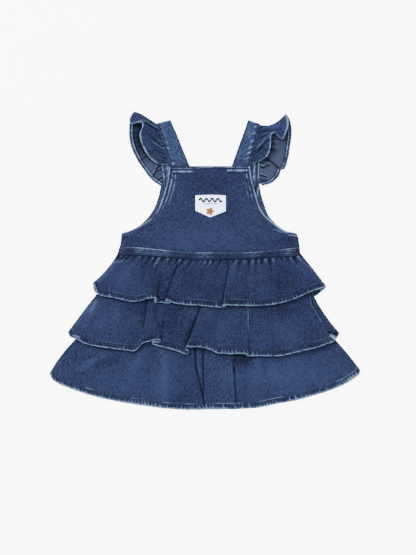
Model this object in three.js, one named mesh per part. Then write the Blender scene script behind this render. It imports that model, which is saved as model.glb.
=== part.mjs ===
// A small child's denim pinafore dress, laid flat on its back: a bib on two ruffled shoulder
// straps, a stitched waistband, and three gathered tiers with a turned hem. Every piece of cloth is
// a closed wall. Millimetres, +X to the viewer's right, +Y to the shoulders, +Z up from the floor.

import * as THREE from "three";

// Driving sizes
const CLOTH = 1.0; // one ply of denim
const SEAM_GAP = 0.35; // air between plies that lie on each other
const STRAP = 1.4; // a strap is denim folded on itself
const PATCH = 0.8; // woven patch on the bib
const HEM_TURN = 0.5; // what a turned hem adds to the ply
const HEM_DEPTH = 9; // from the hem's stitch line to its edge
const SIDE_ROLL = 13; // how far in from a side fold the front ply takes to reach its height
const GATHER_PITCH = 9.6; // mean distance between gathers at the waist
const GATHER_LIFT = 0.55; // height of a gather above and below the ply
const GATHER_FADE = 9; // distance over which the gathers die out
const GATHER_START = 6.8; // they start below the waistband
const RUFFLE_PITCH = 8.5; // mean distance between gathers at the strap
const RUFFLE_LIFT = 0.5; // height of those gathers

// Height of the middle of the n-th ply of a stack that starts on the floor
const ply = (n) => CLOTH / 2 + n * (CLOTH + SEAM_GAP);

// Heights of the stack along the dress, by distance from its middle, in plies
const FLOOR = [{ y: 0, height: ply(0) }];
const UNDER_SKIRT_BACK = [
  { y: -75, height: ply(1) },
  { y: -67, height: ply(2) },
  { y: -20, height: ply(2) },
  { y: -12, height: ply(1) },
];
const TIER_2_BACK = [
  { y: -75, height: ply(0) },
  { y: -67, height: ply(1) },
];
const TIER_3_BACK = [
  { y: -138, height: ply(0) },
  { y: -130, height: ply(1) },
];
const TIER_3_EDGE = [
  { y: -146, height: ply(1) },
  { y: -134, height: ply(2) },
];
const TIER_3_FRONT = [
  { y: -222, height: 2.4 },
  { y: -138, height: ply(2) },
];
const TIER_2_EDGE = [
  { y: -140, height: ply(3) },
  { y: -110, height: ply(3) },
  { y: -96, height: ply(2) },
  { y: -80, height: ply(2) },
  { y: -64, height: ply(3) },
];
const TIER_2_FRONT = [
  { y: -140, height: 5.6 },
  { y: -70, height: ply(4) },
];
const TIER_1_EDGE = [
  { y: -40, height: ply(3) },
  { y: -14, height: ply(2) },
  { y: 3, height: ply(1) },
];
const TIER_1_FRONT = [
  { y: -30, height: 7.7 },
  { y: -14, height: 7.5 },
  { y: 1, height: 4.6 },
];

// Bib and back bodice: outline and height at each distance up the dress
const BIB = [
  { y: 139, left: -54.1, right: 67.0, edge: 3.9, crown: 3.9 },
  { y: 121, left: -55.6, right: 69.6, edge: 3.6, crown: 3.8 },
  { y: 109, left: -58.2, right: 73.0, edge: 3.55, crown: 3.7 },
  { y: 99, left: -61.1, right: 76.4, edge: 2.4, crown: 3.2 },
  { y: 81, left: -68.4, right: 83.2, edge: ply(1), crown: 3.0 },
  { y: 69, left: -75.6, right: 87.9, edge: ply(1), crown: 3.1 },
  { y: 60, left: -85.4, right: 99.8, edge: ply(1), crown: 3.3 },
  { y: 51, left: -99.6, right: 110.2, edge: ply(1), crown: 3.6 },
  { y: 44, left: -115.2, right: 122.2, edge: ply(1), crown: 3.9 },
  { y: 40, left: -125.4, right: 137.4, edge: ply(1), crown: 4.1 },
  { y: 28, left: -126.4, right: 140.0, edge: ply(1), crown: 4.5 },
  { y: 10, left: -131.2, right: 142.0, edge: ply(1), crown: 4.6 },
];
const BACK_BODICE = [
  { y: 121, left: -63.4, right: 79.6 },
  { y: 99, left: -67.2, right: 83.6 },
  { y: 81, left: -73.2, right: 89.4 },
  { y: 69, left: -80.4, right: 93.6 },
  { y: 58, left: -91.6, right: 102.4 },
  { y: 51, left: -101.0, right: 110.4 },
  { y: 44, left: -115.4, right: 122.4 },
  { y: 40, left: -125.4, right: 137.4 },
  { y: 28, left: -126.4, right: 140.0 },
  { y: 10, left: -131.2, right: 142.0 },
];
const BIB_LEVELS = [139, 121, 109, 99, 90, 81, 75, 69, 64, 60, 55, 51, 47, 44, 42, 40, 28];
const BACK_LEVELS = [121, 99, 81, 69, 58, 51, 44, 40, 28];

// Waistband: its upper and lower lines
const WAISTBAND = [
  { x: -131, upper: 18.6, lower: 7.4 },
  { x: -110, upper: 20.0, lower: 8.2 },
  { x: -77, upper: 17.4, lower: 7.0 },
  { x: -52, upper: 14.8, lower: 5.0 },
  { x: -20, upper: 12.1, lower: 2.4 },
  { x: 17, upper: 12.1, lower: 1.4 },
  { x: 54, upper: 12.0, lower: 2.8 },
  { x: 88, upper: 13.8, lower: 5.0 },
  { x: 122, upper: 17.4, lower: 6.0 },
  { x: 142, upper: 20.0, lower: 7.6 },
];

// Tiers. Each row is one station along a tier: where its line leaves the top seam, where it meets
// the hem, how far the hem is lifted there, and how far a pleat slides it under the next ply
const TIER_1 = [
  { top: -130.2, hem: -166.8, drop: -34.5, rise: 0, bow: 4 },
  { top: -127, hem: -163.8, drop: -47, rise: 0.3, bow: 4 },
  { top: -123, hem: -158, drop: -52, rise: 0.8, bow: 2 },
  { top: -112, hem: -139.5, drop: -55.7, rise: 1.2 },
  { top: -104, hem: -125.7, drop: -58.5, rise: 0.8 },
  { top: -94, hem: -109.6, drop: -62, rise: 0 },
  { top: -86, hem: -98, drop: -61, rise: 0.6 },
  { top: -76, hem: -87.5, drop: -57.8, rise: 2 },
  { top: -66, hem: -77, drop: -56.4, rise: 2.9 },
  ...pleat({ top: -62, hem: -72.5, overlap: 3, left: [-57, 3], right: [-62.8, 0.3] }),
  { top: -52, hem: -66, drop: -63.2, rise: 0.2 },
  ...pleat({ top: -38, hem: -59, overlap: 8, left: [-63.8, 0.1], right: [-57.8, 3] }),
  { top: -30, hem: -50, drop: -62.8, rise: 2.4 },
  { top: -20, hem: -29, drop: -66.6, rise: 1.4 },
  { top: 0, hem: -6.8, drop: -67.8, rise: 0.8 },
  { top: 26, hem: 18, drop: -70.4, rise: 0.2 },
  ...pleat({ top: 37, hem: 27, overlap: 3, left: [-71, 0], right: [-67.2, 3] }),
  { top: 48, hem: 38, drop: -67.4, rise: 2.8 },
  { top: 60, hem: 54, drop: -67.8, rise: 1.8 },
  { top: 76, hem: 74, drop: -68.2, rise: 0.8 },
  { top: 92, hem: 98, drop: -66.6, rise: 0.5 },
  { top: 108, hem: 119, drop: -62.4, rise: 0.9 },
  { top: 120, hem: 135.3, drop: -57.2, rise: 1.4 },
  { top: 131, hem: 161.5, drop: -45.6, rise: 1.6, bow: -2 },
  { top: 137, hem: 172.5, drop: -42.2, rise: 0.6, bow: -4 },
  { top: 141.4, hem: 180.9, drop: -39.8, rise: 0, bow: -5 },
];
const TIER_2 = [
  { top: -138, hem: -203.7, drop: -108, rise: 0, bow: -2 },
  { top: -134, hem: -200.1, drop: -114.3, rise: 0.2, bow: -2 },
  { top: -130, hem: -192.8, drop: -117.9, rise: 0.5 },
  { top: -122, hem: -178.9, drop: -124.8, rise: 0.8 },
  { top: -114, hem: -166.5, drop: -128, rise: 0.7 },
  { top: -98, hem: -140.2, drop: -132, rise: 0.4 },
  { top: -84, hem: -117.8, drop: -134.7, rise: 0.2 },
  { top: -76, hem: -105.9, drop: -135.8, rise: 0 },
  { top: -72, hem: -99.8, drop: -131.2, rise: 1.2 },
  { top: -67, hem: -94.5, drop: -125.2, rise: 2.2 },
  { top: -60, hem: -82.5, drop: -121, rise: 3 },
  ...pleat({ top: -52, hem: -67, overlap: 12, left: [-119.2, 3.2], right: [-125.8, 0.2] }),
  { top: -42, hem: -53.2, drop: -132.2, rise: 0.4 },
  { top: -30, hem: -40.5, drop: -136.5, rise: 0.2 },
  ...pleat({ top: 4, hem: -28.5, overlap: 3, left: [-140.8, 0], right: [-128.8, 3.2] }),
  { top: 8, hem: -21.6, drop: -129.6, rise: 3.3 },
  { top: 14, hem: -10, drop: -129.6, rise: 3 },
  { top: 20, hem: -0.6, drop: -131.4, rise: 2.4 },
  { top: 25, hem: 8.1, drop: -133.8, rise: 1.7 },
  { top: 30, hem: 17.7, drop: -138.6, rise: 0.8 },
  { top: 40, hem: 37.8, drop: -140.1, rise: 0.7 },
  { top: 50, hem: 52.5, drop: -139.6, rise: 1.8 },
  ...pleat({ top: 61, hem: 64, overlap: 2, left: [-140.6, 2.8], right: [-143.2, 0] }),
  { top: 76, hem: 76.5, drop: -143.4, rise: 0 },
  { top: 84, hem: 90, drop: -143.2, rise: 0.1 },
  { top: 96, hem: 112.8, drop: -143, rise: 0.4 },
  { top: 112, hem: 137.8, drop: -137.7, rise: 1 },
  { top: 128, hem: 168, drop: -130.2, rise: 1.3 },
  { top: 138, hem: 183, drop: -125, rise: 1 },
  { top: 146, hem: 193.2, drop: -120.6, rise: 0.5, bow: -5 },
  { top: 152, hem: 200.4, drop: -109.5, rise: 0, bow: -7 },
];
const TIER_3 = [
  { top: -166.5, hem: -232.2, drop: -169.5, rise: 0, bow: -3 },
  { top: -163, hem: -227.2, drop: -178.5, rise: 0.2, bow: -2 },
  { top: -158, hem: -216.8, drop: -185.2, rise: 0.5 },
  { top: -148, hem: -197, drop: -194, rise: 0.8 },
  { top: -132, hem: -171.8, drop: -202.2, rise: 1 },
  { top: -106, hem: -133.8, drop: -210.6, rise: 0.8 },
  { top: -88, hem: -110.1, drop: -214.3, rise: 0.6 },
  { top: -68, hem: -82.5, drop: -218, rise: 0.8 },
  { top: -42, hem: -48.9, drop: -221.8, rise: 0.6 },
  { top: -28, hem: -29, drop: -222.8, rise: 0.2 },
  { top: -21, hem: -7, drop: -222.2, rise: 0 },
  ...pleat({ top: -15, hem: 1.5, overlap: 1.5, left: [-219.6, 0], right: [-219.2, 2.8] }),
  { top: -6, hem: 11, drop: -221.8, rise: 3 },
  { top: 10, hem: 24, drop: -221.7, rise: 2.6 },
  { top: 30, hem: 38, drop: -221.7, rise: 2.9 },
  ...pleat({ top: 40, hem: 46, overlap: 1.5, left: [-221.7, 2.8], right: [-221.5, 0] }),
  { top: 48, hem: 54, drop: -221.4, rise: 0.1 },
  { top: 64, hem: 82.5, drop: -218.8, rise: 0.4 },
  { top: 80, hem: 102.6, drop: -214.8, rise: 0.8 },
  { top: 108, hem: 132.8, drop: -209.7, rise: 0.9 },
  { top: 134, hem: 173, drop: -199.7, rise: 1.2 },
  { top: 156, hem: 203.1, drop: -188.7, rise: 1 },
  { top: 166, hem: 223.2, drop: -176.5, rise: 0.5 },
  { top: 169, hem: 230.4, drop: -170.2, rise: 0.2 },
  { top: 171, hem: 231.2, drop: -164.8, rise: 0, bow: 2 },
];
const TIER_1_HIDDEN = [
  { top: -130.2, hem: -166.6, drop: -34.5, bow: 4 },
  { top: -124, hem: -156, drop: -50 },
  { top: -60, hem: -76, drop: -54 },
  { top: 10, hem: 10, drop: -62 },
  { top: 100, hem: 120, drop: -58 },
  { top: 130, hem: 164.7, drop: -54 },
  { top: 137, hem: 178, drop: -44 },
  { top: 141.4, hem: 181.4, drop: -40.5, bow: -5 },
];
const TIER_2_HIDDEN = [
  { top: -138, hem: -203.7, drop: -108, bow: -2 },
  { top: -130, hem: -192, drop: -116 },
  { top: -84, hem: -117, drop: -119 },
  { top: 10, hem: 10, drop: -124 },
  { top: 110, hem: 137, drop: -122 },
  { top: 146, hem: 193, drop: -117 },
  { top: 152, hem: 200.4, drop: -109.5, bow: -7 },
];
const TIER_3_HIDDEN = [
  { top: -166.5, hem: -232.2, drop: -169.5, bow: -3 },
  { top: -158, hem: -215, drop: -184.5 },
  { top: -132, hem: -171, drop: -200.5 },
  { top: -60, hem: -70, drop: -217.5 },
  { top: 10, hem: 10, drop: -219.5 },
  { top: 80, hem: 100, drop: -213.5 },
  { top: 134, hem: 172, drop: -198 },
  { top: 164, hem: 221, drop: -176 },
  { top: 171, hem: 231.2, drop: -164.8, bow: 2 },
];
const UNDER_SKIRT = [
  { top: -119, hem: -165, drop: -91.8 },
  { top: 10, hem: 10, drop: -91.8 },
  { top: 130, hem: 169, drop: -91.8 },
];
const WAIST_SEAM_DROP = 0.4; // half of the gap at the waist seam, under the band
const BACK_SEAM_DROP = 1.1; // gap between the back bodice and its waistband
const BAND_LIFT = 0.35; // extra air under the front waistband, for the gathers sewn in there
const TIER_2_SEAM = -21.5; // height of the line that sews tier 2 to the under-skirt
const TIER_3_SEAM = -92.2; // the same for tier 3, at the under-skirt's lower edge
const UNDER_SKIRT_TOP = -1; // upper edge of the under-skirt, below the waistband

// Straps: each row is a section from its outer edge to its inner edge, from the bib over the
// shoulder and down the back
const STRAP_LEFT = [
  { outerX: -49.2, outerY: 130, innerX: -21.6, innerY: 130, height: 2.4 },
  { outerX: -53, outerY: 141.5, innerX: -25.7, innerY: 140.5, height: 2.6 },
  { outerX: -56.2, outerY: 153, innerX: -30, innerY: 152, height: 3.2 },
  { outerX: -60, outerY: 165, innerX: -34.5, innerY: 164, height: 3.9 },
  { outerX: -66, outerY: 185, innerX: -42.6, innerY: 186, height: 4.7 },
  { outerX: -70.4, outerY: 198, innerX: -48.8, innerY: 202, height: 4.8 },
  { outerX: -71.4, outerY: 201.6, innerX: -51, innerY: 207, height: 4.4 },
  { outerX: -72, outerY: 203.6, innerX: -51.8, innerY: 209, height: 2.8 },
  { outerX: -71.7, outerY: 201.8, innerX: -51.6, innerY: 207, height: 1.2 },
  { outerX: -71.2, outerY: 198, innerX: -51.2, innerY: 202, height: 0.7 },
  { outerX: -69.4, outerY: 170, innerX: -48.4, innerY: 170, height: 0.7 },
  { outerX: -65.9, outerY: 129, innerX: -44.9, innerY: 129, height: 0.7 },
  { outerX: -65.2, outerY: 121.5, innerX: -44.2, innerY: 121.5, height: 2.0 },
  { outerX: -64.5, outerY: 112, innerX: -43.5, innerY: 112, height: 2.0 },
];
const STRAP_RIGHT = [
  { outerX: 64.4, outerY: 130, innerX: 36.4, innerY: 130, height: 2.4 },
  { outerX: 66.8, outerY: 139, innerX: 39.6, innerY: 140.5, height: 2.6 },
  { outerX: 70.2, outerY: 153, innerX: 43.7, innerY: 152, height: 3.2 },
  { outerX: 73.2, outerY: 165, innerX: 48, innerY: 164, height: 3.9 },
  { outerX: 78.2, outerY: 185, innerX: 56, innerY: 186, height: 4.7 },
  { outerX: 80.9, outerY: 196, innerX: 61.8, innerY: 202, height: 4.8 },
  { outerX: 81.6, outerY: 199, innerX: 63.8, innerY: 207, height: 4.4 },
  { outerX: 82, outerY: 200.8, innerX: 64.8, innerY: 208.8, height: 2.8 },
  { outerX: 82, outerY: 199, innerX: 64.6, innerY: 207, height: 1.2 },
  { outerX: 82, outerY: 196, innerX: 64.4, innerY: 202, height: 0.7 },
  { outerX: 81.8, outerY: 170, innerX: 62, innerY: 170, height: 0.7 },
  { outerX: 81.2, outerY: 129, innerX: 60.6, innerY: 129, height: 0.7 },
  { outerX: 81, outerY: 121.5, innerX: 60.2, innerY: 121.5, height: 2.0 },
  { outerX: 80.8, outerY: 112, innerX: 60, innerY: 112, height: 2.0 },
];

// Shoulder ruffles: each row runs from the strap seam to the ruffle's hem, from the bib over the
// shoulder and down the back
const RUFFLE_LEFT = [
  { seamX: -54, seamY: 142.5, seamZ: 2.8, hemX: -58.8, hemY: 143.4, hemZ: 3.2 },
  { seamX: -56.8, seamY: 152.8, seamZ: 3.4, hemX: -70.5, hemY: 144.8, hemZ: 4.2 },
  { seamX: -60.8, seamY: 165.8, seamZ: 4.2, hemX: -82.5, hemY: 153.8, hemZ: 6.4 },
  { seamX: -64.4, seamY: 177.6, seamZ: 4.8, hemX: -93, hemY: 170.2, hemZ: 8.0 },
  { seamX: -67.4, seamY: 187, seamZ: 5.0, hemX: -97.5, hemY: 188.2, hemZ: 9.6 },
  { seamX: -69.4, seamY: 192.6, seamZ: 5.1, hemX: -94.2, hemY: 202, hemZ: 10.6 },
  { seamX: -70.6, seamY: 196.4, seamZ: 5.1, hemX: -97, hemY: 208.4, hemZ: 10.2 },
  { seamX: -71.6, seamY: 199, seamZ: 4.9, hemX: -105, hemY: 208, hemZ: 9.0 },
  { seamX: -72.2, seamY: 201, seamZ: 4.4, hemX: -111.4, hemY: 205.5, hemZ: 8.0 },
  { seamX: -72.6, seamY: 202.6, seamZ: 3.6, hemX: -112.2, hemY: 212.5, hemZ: 6.6 },
  { seamX: -72.8, seamY: 203, seamZ: 2.8, hemX: -106, hemY: 221.8, hemZ: 4.6 },
  { seamX: -72.6, seamY: 202, seamZ: 1.9, hemX: -111.6, hemY: 213, hemZ: 2.4 },
  { seamX: -72.3, seamY: 198.5, seamZ: 0.9, hemX: -113, hemY: 200, hemZ: 0.7 },
  { seamX: -71.6, seamY: 190, seamZ: 0.5, hemX: -113.2, hemY: 186, hemZ: 0.5 },
  { seamX: -70.4, seamY: 178, seamZ: 0.5, hemX: -111, hemY: 171.8, hemZ: 0.5 },
  { seamX: -69.4, seamY: 164, seamZ: 0.5, hemX: -101, hemY: 150.4, hemZ: 0.5 },
  { seamX: -68, seamY: 148, seamZ: 0.5, hemX: -91.4, hemY: 136, hemZ: 0.5 },
  { seamX: -66.6, seamY: 131, seamZ: 0.5, hemX: -80, hemY: 122, hemZ: 0.5 },
  { seamX: -65.5, seamY: 115.4, seamZ: 0.5, hemX: -69.6, hemY: 112.6, hemZ: 0.5 },
];
const RUFFLE_RIGHT = [
  { seamX: 67.8, seamY: 140.5, seamZ: 2.8, hemX: 71.4, hemY: 146, hemZ: 3.4 },
  { seamX: 70.6, seamY: 151.5, seamZ: 3.4, hemX: 84.3, hemY: 150.1, hemZ: 4.6 },
  { seamX: 73.2, seamY: 162, seamZ: 4.1, hemX: 92.6, hemY: 155.6, hemZ: 5.8 },
  { seamX: 75.6, seamY: 171.6, seamZ: 4.6, hemX: 97.2, hemY: 165.4, hemZ: 6.4 },
  { seamX: 77.4, seamY: 178.6, seamZ: 4.9, hemX: 99, hemY: 178, hemZ: 6.2 },
  { seamX: 79, seamY: 184.6, seamZ: 5.0, hemX: 99.6, hemY: 188.4, hemZ: 5.4 },
  { seamX: 79.8, seamY: 187.6, seamZ: 5.1, hemX: 104.2, hemY: 190.6, hemZ: 6.2 },
  { seamX: 80.6, seamY: 190.6, seamZ: 5.1, hemX: 110, hemY: 185, hemZ: 8.2 },
  { seamX: 81.4, seamY: 193.4, seamZ: 5.1, hemX: 115.6, hemY: 180.4, hemZ: 9.8 },
  { seamX: 82, seamY: 195.6, seamZ: 4.9, hemX: 121, hemY: 190.8, hemZ: 10.6 },
  { seamX: 82.4, seamY: 197.4, seamZ: 4.5, hemX: 124.5, hemY: 202.4, hemZ: 9.4 },
  { seamX: 82.8, seamY: 199, seamZ: 3.8, hemX: 124, hemY: 211, hemZ: 7.6 },
  { seamX: 83, seamY: 199.6, seamZ: 2.8, hemX: 121.4, hemY: 220.6, hemZ: 5.0 },
  { seamX: 83, seamY: 198.6, seamZ: 1.9, hemX: 127, hemY: 212, hemZ: 2.6 },
  { seamX: 82.9, seamY: 195, seamZ: 0.9, hemX: 130, hemY: 201, hemZ: 0.8 },
  { seamX: 82.8, seamY: 186, seamZ: 0.5, hemX: 130.2, hemY: 189, hemZ: 0.5 },
  { seamX: 82.7, seamY: 174, seamZ: 0.5, hemX: 128, hemY: 173.7, hemZ: 0.5 },
  { seamX: 82.6, seamY: 162, seamZ: 0.5, hemX: 124.5, hemY: 156.5, hemZ: 0.5 },
  { seamX: 82.4, seamY: 151, seamZ: 0.5, hemX: 119.6, hemY: 140, hemZ: 0.5 },
  { seamX: 82.2, seamY: 141, seamZ: 0.5, hemX: 110.4, hemY: 127, hemZ: 0.5 },
  { seamX: 82, seamY: 129, seamZ: 0.5, hemX: 98, hemY: 117, hemZ: 0.5 },
  { seamX: 81.8, seamY: 116, seamZ: 0.5, hemX: 86, hemY: 112.8, hemZ: 0.5 },
];

// Patch: straight sides, a slightly crowned top, and a bottom that comes to a point
const PATCH_TOP = 98.9;
const PATCH_CROWN = 0.8;
const PATCH_FOOT = [
  { x: -14.2, y: 74.4 },
  { x: 7.8, y: 64.4 },
  { x: 30.9, y: 73.8 },
];

// Finishes, as the cloth's average colours
const DENIM_BIB = new THREE.MeshStandardMaterial({ color: 0x364468, roughness: 0.88, metalness: 0 });
const DENIM_STRAP = new THREE.MeshStandardMaterial({ color: 0x44587e, roughness: 0.88, metalness: 0 });
const DENIM_TIER_1 = new THREE.MeshStandardMaterial({ color: 0x303d60, roughness: 0.88, metalness: 0 });
const DENIM_TIER_2 = new THREE.MeshStandardMaterial({ color: 0x334467, roughness: 0.88, metalness: 0 });
const DENIM_TIER_3 = new THREE.MeshStandardMaterial({ color: 0x36486c, roughness: 0.88, metalness: 0 });
const WOVEN_PATCH = new THREE.MeshStandardMaterial({ color: 0xf4f7fa, roughness: 0.7, metalness: 0 });

// Six stations of a pleat whose crease meets the hem at `hem`. `left` and `right` give the hem's
// drop and lift of the plies on both sides; the lower one slides `overlap` under the higher one
function pleat({ top, hem, overlap, left, right }) {
  const [leftDrop, leftRise] = left;
  const [rightDrop, rightRise] = right;
  const nose = Math.abs(rightRise - leftRise) / 4;
  const leftOver = leftRise > rightRise;
  const leftShift = leftOver ? 0 : overlap;
  const rightShift = leftOver ? -overlap : 0;
  const sections = [
    { step: -1, shift: leftShift, part: 0 },
    { step: -0.6, shift: leftShift + nose, part: 0.25 },
    { step: -0.2, shift: leftShift, part: 0.5 },
    { step: 0.2, shift: rightShift, part: 0.5 },
    { step: 0.6, shift: rightShift - nose, part: 0.75 },
    { step: 1, shift: rightShift, part: 1 },
  ];
  return sections.map(({ step, shift, part }) => ({
    top: top + step,
    hem: hem + step,
    drop: leftDrop + (rightDrop - leftDrop) * part,
    rise: leftRise + (rightRise - leftRise) * part,
    shift,
  }));
}

const mix = (a, b, part) => a + (b - a) * part;

const smooth = (part) => {
  const t = Math.min(1, Math.max(0, part));
  return t * t * (3 - 2 * t);
};

// Smooth curve through the rows of a table, without overshoot: the value of one column as a
// function of another
function curve(table, key, column) {
  const rows = [...table].sort((a, b) => a[key] - b[key]);
  const last = rows.length - 1;
  const slope = (i) => (rows[i + 1][column] - rows[i][column]) / (rows[i + 1][key] - rows[i][key]);
  const tangent = (i) => {
    if (i === 0) return slope(0);
    if (i === last) return slope(last - 1);
    const before = slope(i - 1);
    const after = slope(i);
    return before * after > 0 ? (2 * before * after) / (before + after) : 0;
  };
  return (at) => {
    if (last === 0 || at <= rows[0][key]) return rows[0][column];
    if (at >= rows[last][key]) return rows[last][column];
    const i = rows.findIndex((row, k) => k < last && at <= rows[k + 1][key]);
    const span = rows[i + 1][key] - rows[i][key];
    const t = (at - rows[i][key]) / span;
    const bend = t * t * (3 - 2 * t);
    const start = t * (1 - t) * (1 - t) * span * tangent(i);
    const end = t * t * (t - 1) * span * tangent(i + 1);
    return mix(rows[i][column], rows[i + 1][column], bend) + start + end;
  };
}

// Part of its full height that a front ply has at a distance from its side fold
const sideRoll = (distance) => {
  const t = Math.min(1, Math.max(0, distance / SIDE_ROLL));
  return Math.sin((Math.PI * t) / 2);
};

// Height of gathers at a place along a seam: uneven waves
const gatherWave = (along, pitch) =>
  Math.sin((2 * Math.PI * along) / pitch + 1.6 * Math.sin(along / 19) + 0.7 * Math.sin(along / 6.1));

// Closed wall of cloth about a net of middle points: points[i][j], i along the piece and j down
// it, with a thickness for each point. The outer face is on the left of i crossed with j
function clothWall(points, thickness) {
  const across = points.length;
  const down = points[0].length;
  const half = across * down;
  const positions = new Float32Array(half * 6);
  const along = new THREE.Vector3();
  const downward = new THREE.Vector3();
  points.forEach((line, i) =>
    line.forEach((point, j) => {
      along.subVectors(points[Math.min(i + 1, across - 1)][j], points[Math.max(i - 1, 0)][j]);
      downward.subVectors(line[Math.min(j + 1, down - 1)], line[Math.max(j - 1, 0)]);
      const normal = downward.clone().cross(along).normalize();
      const reach = thickness(i, j) / 2;
      const at = i * down + j;
      point.clone().addScaledVector(normal, reach).toArray(positions, at * 3);
      point.clone().addScaledVector(normal, -reach).toArray(positions, (half + at) * 3);
    }),
  );
  const faces = [];
  const quad = (a, b, c, d) => faces.push(a, b, c, a, c, d);
  const outer = (i, j) => i * down + j;
  const inner = (i, j) => half + i * down + j;
  for (let i = 0; i < across - 1; i += 1) {
    for (let j = 0; j < down - 1; j += 1) {
      quad(outer(i, j), outer(i, j + 1), outer(i + 1, j + 1), outer(i + 1, j));
      quad(inner(i, j), inner(i + 1, j), inner(i + 1, j + 1), inner(i, j + 1));
    }
    quad(outer(i, 0), outer(i + 1, 0), inner(i + 1, 0), inner(i, 0));
    quad(outer(i + 1, down - 1), outer(i, down - 1), inner(i, down - 1), inner(i + 1, down - 1));
  }
  for (let j = 0; j < down - 1; j += 1) {
    quad(outer(0, j + 1), outer(0, j), inner(0, j), inner(0, j + 1));
    quad(outer(across - 1, j), outer(across - 1, j + 1), inner(across - 1, j + 1), inner(across - 1, j));
  }
  const geometry = new THREE.BufferGeometry();
  geometry.setAttribute("position", new THREE.BufferAttribute(positions, 3));
  geometry.setIndex(faces);
  return geometry;
}

// Places from 0 to 1 along a table's rows, closer where the rows are far apart
function stations(lengths, pitch) {
  const places = [];
  lengths.forEach((length, i) => {
    const steps = Math.max(1, Math.round(length / pitch));
    for (let k = 0; k < steps; k += 1) places.push((i + k / steps) / lengths.length);
  });
  places.push(1);
  return places;
}

const rowSpline = (rows, pick) =>
  new THREE.CatmullRomCurve3(rows.map((row) => new THREE.Vector3(...pick(row))), false, "centripetal");

// One tier of the skirt, front or back: lines run from its top seam to its hem
function tierWall({ rows, seam, base, edge, lift, levels, pitch, gathers, hemTurn }) {
  const hem = rowSpline(rows, (row) => [row.hem, row.drop, row.rise ?? 0]);
  const head = rowSpline(rows, (row) => [row.top, row.shift ?? 0, row.bow ?? 0]);
  const lengths = rows.slice(1).map((row, i) => Math.hypot(row.hem - rows[i].hem, row.drop - rows[i].drop));
  const places = stations(lengths, pitch);
  const baseHeight = curve(base, "y", "height");
  const edgeHeight = curve(edge, "y", "height");
  const flat = places.map((place) => {
    const foot = hem.getPoint(place);
    const start = head.getPoint(place);
    const seamY = seam(start.x);
    return levels.map((v) => {
      const slide = start.y * lift(v) + start.z * 4 * v * (1 - v);
      const x = mix(start.x, foot.x, v) + slide;
      const y = mix(seamY, foot.y, v);
      const fromBand = v * Math.abs(seamY - foot.y) - GATHER_START;
      const fade = smooth(fromBand / 3) * Math.exp(-Math.max(0, fromBand) / GATHER_FADE);
      const wave = gathers * fade * gatherWave(start.x, GATHER_PITCH);
      return { x, y, rise: foot.z * lift(v) + wave };
    });
  });
  const points = flat.map((line) =>
    line.map(({ x, y, rise }, j) => {
      const fromLeft = x - flat[0][j].x;
      const fromRight = flat[flat.length - 1][j].x - x;
      const roll = sideRoll(Math.min(fromLeft, fromRight));
      const low = Math.min(edgeHeight(y), baseHeight(y));
      return new THREE.Vector3(x, y, mix(low, baseHeight(y), roll) + rise * roll);
    }),
  );
  return clothWall(points, (i, j) => {
    const toHem = points[i][levels.length - 1].distanceTo(points[i][j]);
    return CLOTH + hemTurn * smooth((HEM_DEPTH + 2 - toHem) / 2);
  });
}

// Bodice panel between two side outlines, its lower edge on the waist seam
function bodiceWall(table, levels, columns, foot, height) {
  const left = curve(table, "y", "left");
  const right = curve(table, "y", "right");
  const lowest = levels[levels.length - 1];
  const footSteps = [0.5, 1];
  const points = [];
  for (let i = 0; i <= columns; i += 1) {
    const part = 0.5 * (1 - Math.cos((Math.PI * i) / columns));
    const footY = foot(mix(left(lowest), right(lowest), part));
    const heights = [...levels, ...footSteps.map((step) => mix(lowest, footY, step))];
    points.push(
      heights.map((y) => {
        const x = mix(left(y), right(y), part);
        return new THREE.Vector3(x, y, height(x, y));
      }),
    );
  }
  return clothWall(points, () => CLOTH);
}

// Height of the bib's ply at a place on it
const bibLeft = curve(BIB, "y", "left");
const bibRight = curve(BIB, "y", "right");
const bibEdge = curve(BIB, "y", "edge");
const bibCrown = curve(BIB, "y", "crown");
const bibHeight = (x, y) => {
  const inside = Math.min(x - bibLeft(y), bibRight(y) - x);
  return mix(bibEdge(y), bibCrown(y), sideRoll(inside));
};

// The waistband's lines, and the waist seam halfway between them
const bandUpper = curve(WAISTBAND, "x", "upper");
const bandLower = curve(WAISTBAND, "x", "lower");
const waistSeam = (x) => (bandUpper(x) + bandLower(x)) / 2;

// Waistband, a strip along the waist seam
function waistbandWall(columns, parts, height) {
  const first = WAISTBAND[0].x;
  const last = WAISTBAND[WAISTBAND.length - 1].x;
  const points = [];
  for (let i = 0; i <= columns; i += 1) {
    const x = mix(first, last, 0.5 * (1 - Math.cos((Math.PI * i) / columns)));
    points.push(
      parts.map((down) => {
        const y = mix(bandUpper(x), bandLower(x), down);
        return new THREE.Vector3(x, y, height(x, y));
      }),
    );
  }
  return clothWall(points, () => CLOTH);
}

// Strip through a table of sections, each from one edge to the other
function stripWall({ rows, first, second, parts, pitch, thickness, lift }) {
  const one = rowSpline(rows, first);
  const two = rowSpline(rows, second);
  const lengths = rows.slice(1).map((row, i) =>
    new THREE.Vector3(...second(row)).distanceTo(new THREE.Vector3(...second(rows[i]))),
  );
  const points = stations(lengths, pitch).map((place) => {
    const start = one.getPoint(place);
    const end = two.getPoint(place);
    return parts.map((part) => {
      const point = start.clone().lerp(end, part);
      point.z = Math.max(thickness / 2, point.z + lift(part, point));
      return point;
    });
  });
  return clothWall(points, () => thickness);
}

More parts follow.
